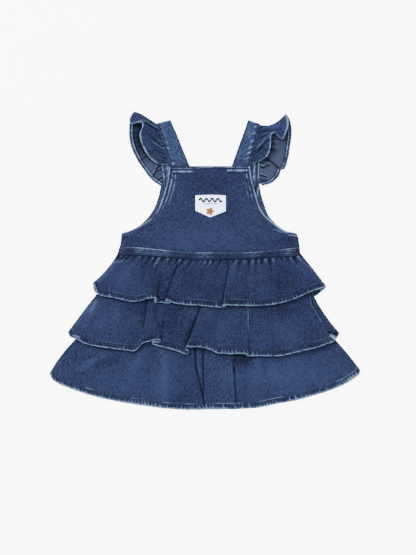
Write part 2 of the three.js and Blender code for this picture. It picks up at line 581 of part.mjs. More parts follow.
// Ruffle along a strap: gathered at the strap seam, free at its hem
function ruffleWall(rows) {
  return stripWall({
    rows,
    first: (row) => [row.seamX, row.seamY, row.seamZ],
    second: (row) => [row.hemX, row.hemY, row.hemZ],
    parts: [0, 0.12, 0.3, 0.53, 0.77, 1],
    pitch: 5,
    thickness: CLOTH,
    lift: (part, point) => {
      const free = smooth((point.z - 3) / 2);
      const fade = smooth(part / 0.1) * Math.exp(-part / 0.25);
      return free * RUFFLE_LIFT * fade * gatherWave(point.y, RUFFLE_PITCH);
    },
  });
}

const strapWall = (rows, mirrored) =>
  stripWall({
    rows,
    first: (row) => (mirrored ? [row.innerX, row.innerY, row.height] : [row.outerX, row.outerY, row.height]),
    second: (row) => (mirrored ? [row.outerX, row.outerY, row.height] : [row.innerX, row.innerY, row.height]),
    parts: [0, 0.33, 0.67, 1],
    pitch: 7,
    thickness: STRAP,
    lift: () => 0,
  });

// Patch laid on the bib
function patchWall() {
  const foot = (x) => {
    const [leftEnd, tip, rightEnd] = PATCH_FOOT;
    const [from, to] = x < tip.x ? [leftEnd, tip] : [tip, rightEnd];
    return mix(from.y, to.y, (x - from.x) / (to.x - from.x));
  };
  const rise = CLOTH / 2 + SEAM_GAP + PATCH / 2;
  const columns = 12;
  const parts = [0, 0.25, 0.5, 0.75, 1];
  const width = PATCH_FOOT[2].x - PATCH_FOOT[0].x;
  const points = [];
  for (let i = 0; i <= columns; i += 1) {
    const x = PATCH_FOOT[0].x + (width * i) / columns;
    const top = PATCH_TOP + PATCH_CROWN * Math.sin((Math.PI * i) / columns);
    points.push(
      parts.map((down) => {
        const y = mix(top, foot(x), down);
        return new THREE.Vector3(x, y, bibHeight(x, y) + rise);
      }),
    );
  }
  return clothWall(points, () => PATCH);
}

const dress = new THREE.Group();

function piece(name, geometry, material) {
  const mesh = new THREE.Mesh(geometry, material);
  mesh.name = name;
  dress.add(mesh);
}

const onFloor = () => ply(0);
const flatLift = () => 0;

// Bodice
const backFoot = (x) => bandUpper(x) + BACK_SEAM_DROP;
const bibFoot = (x) => waistSeam(x) + WAIST_SEAM_DROP;
piece("back_bodice", bodiceWall(BACK_BODICE, BACK_LEVELS, 8, backFoot, onFloor), DENIM_BIB);
piece("front_bib", bodiceWall(BIB, BIB_LEVELS, 18, bibFoot, bibHeight), DENIM_BIB);
piece("label_patch", patchWall(), WOVEN_PATCH);

// Waistband
piece("waistband_back", waistbandWall(20, [0, 1], onFloor), DENIM_BIB);
const bandRise = CLOTH + SEAM_GAP + BAND_LIFT;
const overWaist = (x, y) => bibHeight(x, Math.max(y, waistSeam(x))) + bandRise;
piece("waistband_front", waistbandWall(32, [0, 0.5, 1], overWaist), DENIM_BIB);

// Skirt
const backLevels = [0, 0.33, 0.66, 1];
const backTier = (rows, seam, base, levels) =>
  tierWall({ rows, seam, base, edge: base, lift: flatLift, levels, pitch: 30, gathers: 0, hemTurn: 0 });
const flatSeam = (y) => () => y;
const frontLevels = [0, 0.2, 0.36, 0.5, 0.65, 0.8, 0.88, 1];
const lateLift = (start) => (v) => smooth((v - start) / (1 - start));
const underSkirtFront = UNDER_SKIRT_BACK.map(({ y, height }) => ({ y, height: height + CLOTH + SEAM_GAP }));

piece("tier_1_back", backTier(TIER_1_HIDDEN, (x) => bandLower(x) - WAIST_SEAM_DROP, FLOOR, backLevels), DENIM_TIER_1);
piece(
  "tier_1_front",
  tierWall({
    rows: TIER_1,
    seam: (x) => waistSeam(x) - WAIST_SEAM_DROP,
    base: TIER_1_FRONT,
    edge: TIER_1_EDGE,
    lift: (v) => smooth(v / 0.8),
    levels: [0, 0.08, 0.15, 0.21, 0.3, 0.42, 0.6, 0.8, 0.87, 1],
    pitch: 4.3,
    gathers: GATHER_LIFT,
    hemTurn: HEM_TURN,
  }),
  DENIM_TIER_1,
);
const hiddenLevels = [0, 0.2, 0.4, 0.5, 0.56, 0.62, 0.8, 1];
piece("tier_2_back", backTier(TIER_2_HIDDEN, flatSeam(TIER_2_SEAM), TIER_2_BACK, hiddenLevels), DENIM_TIER_2);
piece(
  "tier_2_front",
  tierWall({
    rows: TIER_2,
    seam: flatSeam(TIER_2_SEAM),
    base: TIER_2_FRONT,
    edge: TIER_2_EDGE,
    lift: lateLift(0.3),
    levels: frontLevels,
    pitch: 10,
    gathers: 0,
    hemTurn: HEM_TURN,
  }),
  DENIM_TIER_2,
);
const hemLevels = [0, 0.15, 0.29, 0.36, 0.44, 0.7, 1];
piece("tier_3_back", backTier(TIER_3_HIDDEN, flatSeam(TIER_3_SEAM), TIER_3_BACK, hemLevels), DENIM_TIER_3);
piece(
  "tier_3_front",
  tierWall({
    rows: TIER_3,
    seam: flatSeam(TIER_3_SEAM),
    base: TIER_3_FRONT,
    edge: TIER_3_EDGE,
    lift: lateLift(0.25),
    levels: frontLevels,
    pitch: 11,
    gathers: 0,
    hemTurn: HEM_TURN,
  }),
  DENIM_TIER_3,
);
const underLevels = [0, 0.12, 0.21, 0.5, 0.73, 0.82, 1];
const underSeam = flatSeam(UNDER_SKIRT_TOP);
piece("under_skirt_back", backTier(UNDER_SKIRT, underSeam, UNDER_SKIRT_BACK, underLevels), DENIM_TIER_2);
piece("under_skirt_front", backTier(UNDER_SKIRT, underSeam, underSkirtFront, underLevels), DENIM_TIER_2);

// Straps and ruffles
piece("strap_left", strapWall(STRAP_LEFT, false), DENIM_STRAP);
piece("strap_right", strapWall(STRAP_RIGHT, true), DENIM_STRAP);
piece("shoulder_ruffle_left", ruffleWall(RUFFLE_LEFT), DENIM_STRAP);
piece("shoulder_ruffle_right", ruffleWall(RUFFLE_RIGHT), DENIM_STRAP);

export default dress;
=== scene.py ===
"""A small child's denim pinafore dress, laid flat with its front up.

Every piece of cloth is a closed wall of about one millimetre round a grid of middle points. The
grids are worked out in millimetres from short tables of sizes and become metres in the meshes.
"""

import logging
import math
from collections.abc import Callable
from dataclasses import dataclass
from enum import Enum

import bpy
import numpy as np
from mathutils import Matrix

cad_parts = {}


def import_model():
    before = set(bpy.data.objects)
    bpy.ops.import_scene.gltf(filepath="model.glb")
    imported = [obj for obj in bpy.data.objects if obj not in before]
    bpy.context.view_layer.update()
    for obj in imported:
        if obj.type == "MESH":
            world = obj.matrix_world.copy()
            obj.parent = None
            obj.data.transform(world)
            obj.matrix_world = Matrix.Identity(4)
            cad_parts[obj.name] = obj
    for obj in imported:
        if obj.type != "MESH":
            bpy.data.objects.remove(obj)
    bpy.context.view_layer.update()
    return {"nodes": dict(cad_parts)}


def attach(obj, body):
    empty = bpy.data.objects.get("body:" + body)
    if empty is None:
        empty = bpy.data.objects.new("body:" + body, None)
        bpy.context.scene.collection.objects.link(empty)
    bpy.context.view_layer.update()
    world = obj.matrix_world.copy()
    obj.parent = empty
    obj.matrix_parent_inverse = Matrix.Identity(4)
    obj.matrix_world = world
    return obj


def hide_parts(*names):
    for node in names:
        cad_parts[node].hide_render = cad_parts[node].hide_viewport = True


log = logging.getLogger("pinafore")

Array = np.ndarray
Curve = Callable[[Array], Array]
Triple = tuple[float, float, float]
Material = bpy.types.Material
Object = bpy.types.Object
Socket = bpy.types.NodeSocket

MM = 0.001
CLOTH = 1.0  # one ply of denim, as in the frame
SEAM_GAP = 0.35
LAYER = CLOTH + SEAM_GAP
STRAP = 1.4  # a strap is denim folded on itself
PATCH = 0.8
HEM_DEPTH = 8.4  # from a tier's hem to its stitch row
HEM_TURN = 0.8  # what the turned hem adds to the ply
SIDE_ROLL = 13.0
GATHER_PITCH = 9.6
GATHER_START = 6.6
RUFFLE_PITCH = 8.5


class Held(Enum):
    """How a piece of cloth is held."""

    LAID = "laid"
    GATHERED = "gathered"
    FOLDED = "folded"


class Slot(Enum):
    """Material slots of the record."""

    BODICE = "denim_bodice"
    STRAP = "denim_strap"
    TIER_1 = "denim_tier_1"
    TIER_2 = "denim_tier_2"
    TIER_3 = "denim_tier_3"
    PATCH = "woven_patch"


def ply(count: float) -> float:
    """Height of the middle of a ply with `count` plies below it (mm)."""
    return CLOTH / 2 + count * LAYER


def mix(start: Array, end: Array, part: Array) -> Array:
    """Value that lies `part` of the way from start to end."""
    return start + (end - start) * part


def smooth(part: Array) -> Array:
    """S-curve 3t^2 - 2t^3 of the part, held to 0 and 1 outside."""
    t = np.clip(part, 0.0, 1.0)
    return t * t * (3.0 - 2.0 * t)


def bell(distance: Array, width: float) -> Array:
    """Bump exp(-(d / w)^2) of a distance."""
    return np.exp(-((distance / width) ** 2))


def side_roll(distance: Array) -> Array:
    """Part of its height that a front ply has at a distance from its side fold: sin(pi/2 * d/w)."""
    return np.sin(np.clip(distance / SIDE_ROLL, 0.0, 1.0) * math.pi / 2)


def gather_wave(along: Array, pitch: float) -> Array:
    """Uneven waves along a seam: a sine whose phase wanders with two slower sines."""
    return np.sin(2 * math.pi * along / pitch + 1.6 * np.sin(along / 19) + 0.7 * np.sin(along / 6.1))


def wander(along: Array, cell: float, seed: int) -> Array:
    """Smooth random values between -1 and 1 along a line.

    Args:
        along: places on the line (mm).
        cell: distance between the random values (mm).
        seed: number that fixes the values.

    Returns:
        The values, eased from each cell's corner to the next.
    """
    corners = np.random.default_rng(seed).uniform(-1.0, 1.0, 4096)
    place = np.asarray(along) / cell + 2048.0
    low = np.floor(place).astype(int)
    return mix(corners[low % 4096], corners[(low + 1) % 4096], smooth(place - low))


def lumps(x: Array, y: Array, cell: float, seed: int) -> Array:
    """Smooth random heights between -1 and 1 over a plane.

    Args:
        x: first coordinate (mm).
        y: second coordinate (mm).
        cell: size of one lump (mm).
        seed: number that fixes the heights.

    Returns:
        The heights: random corners of a square net, eased between the corners.
    """
    corners = np.random.default_rng(seed).uniform(-1.0, 1.0, (256, 256))
    u, v = x / cell + 128.0, y / cell + 128.0
    i, j = np.floor(u).astype(int), np.floor(v).astype(int)
    s, t = smooth(u - i), smooth(v - j)
    i, j, k, m = i % 256, j % 256, (i + 1) % 256, (j + 1) % 256
    return mix(mix(corners[i, j], corners[k, j], s), mix(corners[i, m], corners[k, m], s), t)


def profile(keys: list[float], values: list[float]) -> Curve:
    """Smooth curve through table values, without overshoot.

    The curve is a cubic on each span whose end slopes are the harmonic means of the chords' slopes.

    Args:
        keys: places, in any order.
        values: the value at each place.

    Returns:
        A function of the place, constant outside the table.
    """
    order = np.argsort(keys)
    x, y = np.asarray(keys, float)[order], np.asarray(values, float)[order]
    if len(x) == 1:
        return lambda at: np.full(np.shape(at), y[0])
    chord = np.diff(y) / np.diff(x)
    slope = np.zeros(len(x))
    slope[0], slope[-1] = chord[0], chord[-1]
    before, after = chord[:-1], chord[1:]
    same = before * after > 0
    total = np.where(same, before + after, 1.0)
    slope[1:-1] = np.where(same, 2 * before * after / total, 0.0)

    def at_place(at: Array) -> Array:
        """Cubic value at the place.

        Args:
            at: places, held between the first and the last known one.

        Returns:
            The value at every place.
        """
        held = np.clip(at, x[0], x[-1])
        i = np.clip(np.searchsorted(x, held, side="right") - 1, 0, len(x) - 2)
        span = x[i + 1] - x[i]
        t = (held - x[i]) / span
        rise = t * (1 - t) ** 2 * span * slope[i] + t * t * (t - 1) * span * slope[i + 1]
        return mix(y[i], y[i + 1], smooth(t)) + rise

    return at_place


def rail(points: Array, places: Array) -> Array:
    """Centripetal spline through points.

    Args:
        points: the points, one row each.
        places: where to read it, from 0 at the first point to 1 at the last.

    Returns:
        One point for each place.
    """
    count = len(points)
    first, last = 2 * points[0] - points[1], 2 * points[-1] - points[-2]
    path = np.vstack([first, points, last])
    at = places * (count - 1)
    i = np.clip(np.floor(at).astype(int), 0, count - 2)
    t = (at - i)[:, None]
    p0, p1, p2, p3 = path[i], path[i + 1], path[i + 2], path[i + 3]
    gap0, gap1, gap2 = (
        np.sqrt(np.linalg.norm(b - a, axis=1))[:, None] for a, b in ((p0, p1), (p1, p2), (p2, p3))
    )
    gap1 = np.where(gap1 < 1e-4, 1.0, gap1)
    gap0 = np.where(gap0 < 1e-4, gap1, gap0)
    gap2 = np.where(gap2 < 1e-4, gap1, gap2)
    start = ((p1 - p0) / gap0 - (p2 - p0) / (gap0 + gap1) + (p2 - p1) / gap1) * gap1
    end = ((p2 - p1) / gap1 - (p3 - p1) / (gap1 + gap2) + (p3 - p2) / gap2) * gap1
    bend = 2 * p1 - 2 * p2 + start + end
    sweep = -3 * p1 + 3 * p2 - 2 * start - end
    return p1 + start * t + sweep * t**2 + bend * t**3


def spread(lengths: Array, pitch: float, least: int = 3) -> Array:
    """Places from 0 to 1 along a table's rows, closer where the rows are far apart.

    Args:
        lengths: distance from each row to the next (mm).
        pitch: wanted distance between places (mm).
        least: fewest places on one span.

    Returns:
        The places.
    """
    steps = np.maximum(least, np.round(lengths / pitch).astype(int))
    spans = [i + np.arange(n) / n for i, n in enumerate(steps)]
    return np.append(np.concatenate(spans), len(lengths)) / len(lengths)


def running_length(points: Array) -> Array:
    """Length along a line of points up to each of them (mm)."""
    return np.append(0.0, np.cumsum(np.linalg.norm(np.diff(points, axis=0), axis=1)))


def rounded(distance: Array, radius: float) -> Array:
    """Part of its thickness that a wall has near its cut edge: a quarter circle from 0.15 to 1."""
    t = np.clip(distance / radius, 0.0, 1.0)
    return 0.15 + 0.85 * np.sqrt(1.0 - (1.0 - t) ** 2)


class Graph:
    """Small helper that adds shader nodes to a material and links them."""

    def __init__(self, name: str) -> None:
        """Start an empty material of the given name.

        Args:
            name: the material's name.
        """
        self.material = bpy.data.materials.new(name)
        self.material.use_nodes = True
        self.tree = self.material.node_tree
        self.tree.nodes.clear()

    def add(self, kind: str, inputs: dict | None = None, **settings: object) -> bpy.types.Node:
        """Add a node.

        Args:
            kind: the node's type name.
            inputs: value or output socket for each input, by name or number.
            settings: properties of the node.

        Returns:
            The new node.
        """
        node = self.tree.nodes.new(kind)
        for key, value in settings.items():
            setattr(node, key, value)
        for key, value in (inputs or {}).items():
            if isinstance(value, Socket):
                self.tree.links.new(value, node.inputs[key])
            else:
                node.inputs[key].default_value = value
        return node

    def reckon(self, operation: str, *values: object) -> Socket:
        """Math node's output for values or sockets."""
        inputs = dict(enumerate(values))
        return self.add("ShaderNodeMath", inputs, operation=operation).outputs[0]

    def blend(self, part: object, low: object, high: object, how: str = "MIX") -> Socket:
        """Colour mix of low and high by part."""
        inputs = {0: part, 6: low, 7: high}
        return self.add("ShaderNodeMix", inputs, data_type="RGBA", blend_type=how).outputs[2]

    def attribute(self, name: str, output: str = "Fac") -> Socket:
        """Value that the mesh stores at each point."""
        return self.add("ShaderNodeAttribute", attribute_name=name).outputs[output]

    def noise(self, where: object, scale: Triple, detail: float) -> Socket:
        """Noise stretched by scale (per metre), about 0.5.

        Args:
            where: coordinates in metres.
            scale: waves per metre along each axis.
            detail: octaves of finer noise.

        Returns:
            The noise's socket.
        """
        mapped = self.add("ShaderNodeMapping", {"Vector": where, "Scale": scale}).outputs[0]
        inputs = {"Vector": mapped, "Scale": 1.0, "Detail": detail, "Roughness": 0.6}
        return self.add("ShaderNodeTexNoise", inputs).outputs["Fac"]

    def ramp(self, value: object, low: float, high: float) -> Socket:
        """Smooth step of the value from low to high."""
        inputs = {"Value": value, "From Min": low, "From Max": high}
        return self.add("ShaderNodeMapRange", inputs, interpolation_type="SMOOTHSTEP").outputs[0]

    def bump(self, height: object, strength: float, depth: float) -> Socket:
        """Normal bent by a height of the given depth (m)."""
        inputs = {"Height": height, "Strength": strength, "Distance": depth}
        return self.add("ShaderNodeBump", inputs).outputs[0]

    def surface(self, inputs: dict) -> Material:
        """End the shader with a principled surface.

        Args:
            inputs: its inputs by name.

        Returns:
            The finished material.
        """
        shader = self.add("ShaderNodeBsdfPrincipled", inputs).outputs[0]
        self.add("ShaderNodeOutputMaterial", {"Surface": shader})
        return self.material


def add_object(name: str, data: bpy.types.ID) -> Object:
    """Put an object that shows the data into the scene.

    Args:
        name: the object's name.
        data: its mesh, lamp or camera.

    Returns:
        The object.
    """
    item = bpy.data.objects.new(name, data)
    bpy.context.scene.collection.objects.link(item)
    return item


def add_mesh(name: str, points: Array, faces: Array, material: Material) -> Object:
    """Add a smoothly shaded mesh object of points in millimetres.

    Args:
        name: name of the mesh and of the object.
        points: one row for each point (mm).
        faces: rows of four corner numbers.
        material: the finish.

    Returns:
        The object.
    """
    mesh = bpy.data.meshes.new(name)
    mesh.from_pydata((points * MM).tolist(), [], faces.tolist())
    mesh.polygons.foreach_set("use_smooth", np.ones(len(mesh.polygons), bool))
    mesh.materials.append(material)
    return add_object(name, mesh)


def rgba(red: float, green: float, blue: float) -> tuple[float, float, float, float]:
    """Linear colour of an sRGB colour given in 0 to 255.

    Args:
        red: red, 0 to 255.
        green: green, 0 to 255.
        blue: blue, 0 to 255.

    Returns:
        The linear channels and an alpha of 1.
    """
    parts = [channel / 255.0 for channel in (red, green, blue)]
    linear = [c / 12.92 if c <= 0.04045 else ((c + 0.055) / 1.055) ** 2.4 for c in parts]
    return (linear[0], linear[1], linear[2], 1.0)


@dataclass(frozen=True)
class Denim:
    """Washed indigo denim: dark dye, paler slub threads, worn folds, painted highlights and painted shade,
    and a greyer inside.
    """

    name: str
    dye: Triple
    slub: Triple
    wear_and_highlight: Triple = (118, 142, 178)
    rubbed_white: Triple = (186, 200, 222)
    inside: Triple = (81, 88, 119)
    shadow: Triple = (9, 11, 24)
    streak: float = 1.7
    heather: float = 1.8
    cloud: float = 0.4
    fade: float = 0.55
    specks: float = 0.3

    def material(self) -> Material:
        """Build the cloth's shader.

        The colour runs from dye to slub by a level that adds threads stretched along the warp, a
        finer heather, clouds and broad fades to the point value of faded dye, which also carries some
        painted highlights and painted shade, with pale specks on top. The point values of wear (with
        painted highlights), of painted shade and of the inside mix in the other colours, and cloth
        worn past 1 turns white. The bump is a twill of diagonal ribs with the same slubs.

        Returns:
            The material.
        """
        g = Graph(self.name)
        cloth = g.attribute("cloth", "Vector")
        streak = g.noise(cloth, (600.0, 170.0, 1.0), 2.0)
        heather = g.noise(cloth, (500.0, 420.0, 1.0), 3.0)
        cloud = g.noise(cloth, (120.0, 85.0, 1.0), 3.0)
        fade = g.noise(cloth, (30.0, 22.0, 1.0), 2.0)
        shares = ((streak, self.streak), (heather, self.heather), (cloud, self.cloud), (fade, self.fade))
        level = g.reckon("ADD", g.attribute("fade_and_painted_light"), 0.5 - sum(share for _, share in shares) / 2)
        for noise, share in shares:
            level = g.reckon("MULTIPLY_ADD", noise, share, level)
        colour = g.blend(g.ramp(level, -0.15, 1.15), rgba(*self.dye), rgba(*self.slub))
        speck = g.ramp(g.noise(cloth, (680.0, 520.0, 1.0), 1.0), 0.58, 0.76)
        colour = g.blend(g.reckon("MULTIPLY", speck, self.specks), colour, rgba(*self.wear_and_highlight))
        lining = g.blend(heather, rgba(*(0.72 * part for part in self.inside)), rgba(*self.inside))
        colour = g.blend(g.attribute("inside"), colour, lining)
        grain = g.reckon("MULTIPLY_ADD", streak, 1.0, g.reckon("MULTIPLY", heather, 1.1))
        # Wear and painted highlights lighten towards the worn colour, and past 1 towards white
        rubbed_and_highlit = g.reckon("MULTIPLY", g.attribute("wear_and_highlight"), grain)
        colour = g.blend(g.ramp(rubbed_and_highlit, 0.04, 1.05), colour, rgba(*self.wear_and_highlight))
        colour = g.blend(g.ramp(rubbed_and_highlit, 1.15, 2.0), colour, rgba(*self.rubbed_white))
        shade = g.reckon("MULTIPLY", g.attribute("shade"), 0.9)
        colour = g.blend(shade, colour, rgba(*self.shadow))
        turned = g.add("ShaderNodeMapping", {"Vector": cloth, "Rotation": (0.0, 0.0, math.radians(58))})
        twill_inputs = {"Vector": turned.outputs[0], "Scale": 180.0, "Distortion": 1.2, "Detail": 2.0}
        twill = g.add("ShaderNodeTexWave", twill_inputs, wave_type="BANDS").outputs["Fac"]
        relief = g.reckon("MULTIPLY_ADD", twill, 0.35, g.reckon("MULTIPLY", heather, 0.9))
        relief = g.reckon("MULTIPLY_ADD", streak, 0.6, relief)
        return g.surface({
            "Base Color": colour,
            "Roughness": 0.92,
            "Specular IOR Level": 0.08,
            "Sheen Weight": 0.03,
            "Sheen Roughness": 0.6,
            "Sheen Tint": rgba(110, 140, 200),
            "Normal": g.bump(relief, 0.55, 0.0005),
        })


@dataclass(frozen=True)
class Thread:
    """Sewing or embroidery thread: a plain colour with fine twist."""

    name: str
    colour: Triple

    def material(self) -> Material:
        """Build the thread's shader: its colour, mottled, with a small sheen.

        Returns:
            The material.
        """
        g = Graph(self.name)
        where = g.add("ShaderNodeTexCoord").outputs["Object"]
        twist = g.noise(where, (1900.0, 1900.0, 1900.0), 2.0)
        dark = tuple(channel * 0.72 for channel in self.colour)
        colour = g.blend(twist, rgba(*dark), rgba(*self.colour))
        bump = g.bump(twist, 0.4, 0.0002)
        return g.surface({"Base Color": colour, "Roughness": 0.62, "Sheen Weight": 0.2, "Normal": bump})


@dataclass(frozen=True)
class WovenPatch:
    """White woven label cloth: fine satin ribs, and a faint blue glow, painted light that makes the white
    brighter.
    """

    name: str = "woven_patch_cloth"
    colour: Triple = (246, 250, 254)
    rib: Triple = (222, 230, 242)
    shadow: Triple = (150, 165, 196)
    glow: Triple = (0.64, 0.76, 1.0)
    painted_glow: float = 3.8

    def material(self) -> Material:
        """Build the patch's shader: white, with fine ribs across and a soft mottle.

        Returns:
            The material.
        """
        g = Graph(self.name)
        cloth = g.attribute("cloth", "Vector")
        ribs_inputs = {"Vector": cloth, "Scale": 420.0, "Distortion": 0.5, "Detail": 1.0}
        ribs = g.add("ShaderNodeTexWave", ribs_inputs, bands_direction="Y").outputs["Fac"]
        mottle = g.noise(cloth, (500.0, 900.0, 1.0), 3.0)
        level = g.reckon("MULTIPLY_ADD", ribs, 0.3, g.reckon("MULTIPLY", mottle, 0.7))
        colour = g.blend(level, rgba(*self.rib), rgba(*self.colour))
        colour = g.blend(g.attribute("shade"), colour, rgba(*self.shadow))
        return g.surface({
            "Base Color": colour,
            "Roughness": 0.66,
            "Sheen Weight": 0.15,
            "Normal": g.bump(level, 0.4, 0.0003),
            # Painted light: a faint blue glow that brightens the patch
            "Emission Color": (*self.glow, 1.0),
            "Emission Strength": self.painted_glow,
        })


@dataclass
class StitchRun:
    """A row of stitches along a line on the cloth.

    Each stitch is a small grain: rings of points whose radius follows a half wave along its length.
    """

    path: Array
    normal: Array
    length: float = 2.3
    gap: float = 0.7
    width: float = 0.62
    height: float = 0.34

    def mesh_parts(self) -> tuple[Array, Array]:
        """Work out the stitches' points and faces.

        Returns:
            Points in millimetres, and faces as rows of four corner numbers.
        """
        along = running_length(self.path)
        count = max(1, int((along[-1] - self.gap) / (self.length + self.gap)))
        centre_at = self.gap + self.length / 2 + np.arange(count) * (self.length + self.gap)
        half = self.length / 2

        def at(places: Array, line: Array) -> Array:
            """Line's value at places along the path."""
            return np.stack([np.interp(places, along, line[:, k]) for k in range(3)], axis=1)

        tangent = at(centre_at + half, self.path) - at(centre_at - half, self.path)
        tangent /= np.maximum(np.linalg.norm(tangent, axis=1, keepdims=True), 1e-9)
        up = at(centre_at, self.normal)
        side = np.cross(up, tangent)
        side /= np.maximum(np.linalg.norm(side, axis=1, keepdims=True), 1e-9)
        up = np.cross(tangent, side)
        centre = at(centre_at, self.path)
        rings, sides = np.array([-0.5, -0.36, 0.0, 0.36, 0.5]), 6
        turn = np.arange(sides) * math.pi / 3
        size = np.maximum(0.12, np.cos(rings * math.pi * 0.96))
        offset = rings[:, None, None, None] * self.length * tangent[None, None]
        ring_side = (size[:, None] * np.cos(turn)[None] * self.width / 2)[..., None, None]
        ring_up = (size[:, None] * np.sin(turn)[None] * self.height)[..., None, None]
        points = centre[None, None] + offset + ring_side * side[None, None] + ring_up * up[None, None]
        points = points.transpose(2, 0, 1, 3).reshape(-1, 3)
        last = (len(rings) - 1) * sides
        low, side_number = np.meshgrid(np.arange(0, last, sides), np.arange(sides), indexing="ij")
        this, following = low + side_number, low + (side_number + 1) % sides
        body = np.stack([this, following, following + sides, this + sides], -1).reshape(-1, 4)
        first_cap = np.array([[0, 5, 4, 3], [0, 3, 2, 1]])
        last_cap = last + np.array([[0, 1, 2, 3], [0, 3, 4, 5]])
        one = np.vstack([body, first_cap, last_cap])[:, ::-1]
        starts = np.arange(count)[:, None, None] * (last + sides)
        return points, (one[None] + starts).reshape(-1, 4)


@dataclass
class ClothWall:
    """Closed wall of cloth about a grid of middle points, all in millimetres.

    The outer face is the middle plus the normal times half the thickness, and the inner face is the
    middle minus it. Four strips of faces close the rims.
    """

    name: str
    middle: Array
    thickness: Array
    wear_and_highlight: Array
    shade: Array
    inside: tuple[float | Array, float | Array] = (0.0, 0.0)
    cloth: Array | None = None
    fade_and_painted_light: Array | float = 0.0

    def normals(self) -> Array:
        """Unit normals of the middle grid: its second direction crossed with its first.

        Returns:
            A vector for each point of the grid.
        """
        along, down = np.gradient(self.middle, axis=0), np.gradient(self.middle, axis=1)
        normal = np.cross(down, along)
        return normal / np.maximum(np.linalg.norm(normal, axis=2, keepdims=True), 1e-9)

    def faces(self) -> Array:
        """Corner numbers of every face.

        Returns:
            Rows of four numbers: outer face, inner face and the four rims.
        """
        n, m = self.middle.shape[:2]
        outer = np.arange(n * m).reshape(n, m)
        inner = outer + n * m
        a, b, c, d = outer[:-1, :-1], outer[1:, :-1], outer[1:, 1:], outer[:-1, 1:]
        e, f, g, h = inner[:-1, :-1], inner[1:, :-1], inner[1:, 1:], inner[:-1, 1:]
        quads = [
            (a, d, c, b),
            (e, f, g, h),
            (outer[:-1, 0], outer[1:, 0], inner[1:, 0], inner[:-1, 0]),
            (outer[1:, -1], outer[:-1, -1], inner[:-1, -1], inner[1:, -1]),
            (outer[0, 1:], outer[0, :-1], inner[0, :-1], inner[0, 1:]),
            (outer[-1, :-1], outer[-1, 1:], inner[-1, 1:], inner[-1, :-1]),
        ]
        return np.vstack([np.stack(quad, axis=-1).reshape(-1, 4) for quad in quads])

    def build(self, material: Material) -> Object:
        """Make the mesh object and store its point values.

        Args:
            material: the cloth's finish.

        Returns:
            The object.
        """
        reach = self.normals() * self.thickness[..., None] / 2
        points = np.concatenate([self.middle + reach, self.middle - reach]).reshape(-1, 3)
        piece = add_mesh(self.name, points, self.faces(), material)
        cloth = self.middle[..., :2] if self.cloth is None else self.cloth
        flat = np.zeros((*cloth.shape[:2], 3))
        flat[..., :2] = cloth * MM
        layer = piece.data.attributes.new("cloth", "FLOAT_VECTOR", "POINT")
        layer.data.foreach_set("vector", np.concatenate([flat, flat]).ravel())
        side = np.ones(self.middle.shape[:2])
        sides = {
            "wear_and_highlight": (self.wear_and_highlight, self.wear_and_highlight),
            "shade": (self.shade, self.shade),
            "inside": (side * self.inside[0], side * self.inside[1]),
            "fade_and_painted_light": (side * self.fade_and_painted_light, side * self.fade_and_painted_light),
        }
        for key, values in sides.items():
            layer = piece.data.attributes.new(key, "FLOAT", "POINT")
            layer.data.foreach_set("value", np.concatenate(values).ravel().astype(np.float32))
        piece.data.update()
        return piece

    def stitch_run(self, column: int, spare: int = 0) -> StitchRun:
        """Row of stitches on the outer face along a column of the grid, `spare` points short.

        Args:
            column: the grid's column.
            spare: points left out at both ends.

        Returns:
            The row.
        """
        rows = slice(spare, len(self.middle) - spare)
        outer = self.middle + self.normals() * self.thickness[..., None] / 2
        return StitchRun(outer[rows, column], self.normals()[rows, column])

    def half_area(self) -> float:
        """Area of the middle surface (square metres)."""
        along, down = np.diff(self.middle, axis=0)[:, :-1], np.diff(self.middle, axis=1)[:-1]
        return float(np.linalg.norm(np.cross(along, down), axis=2).sum()) * MM * MM


def build_stitches(name: str, runs: list[StitchRun], material: Material) -> None:
    """Join rows of stitches into one object that rides with the dress.

    Args:
        name: the object's name.
        runs: the rows.
        material: the thread.
    """
    points, faces, start = [], [], 0
    for run in runs:
        run_points, run_faces = run.mesh_parts()
        points.append(run_points)
        faces.append(run_faces + start)
        start += len(run_points)
    piece = add_mesh(name, np.vstack(points), np.vstack(faces), material)
    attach(piece, "root")


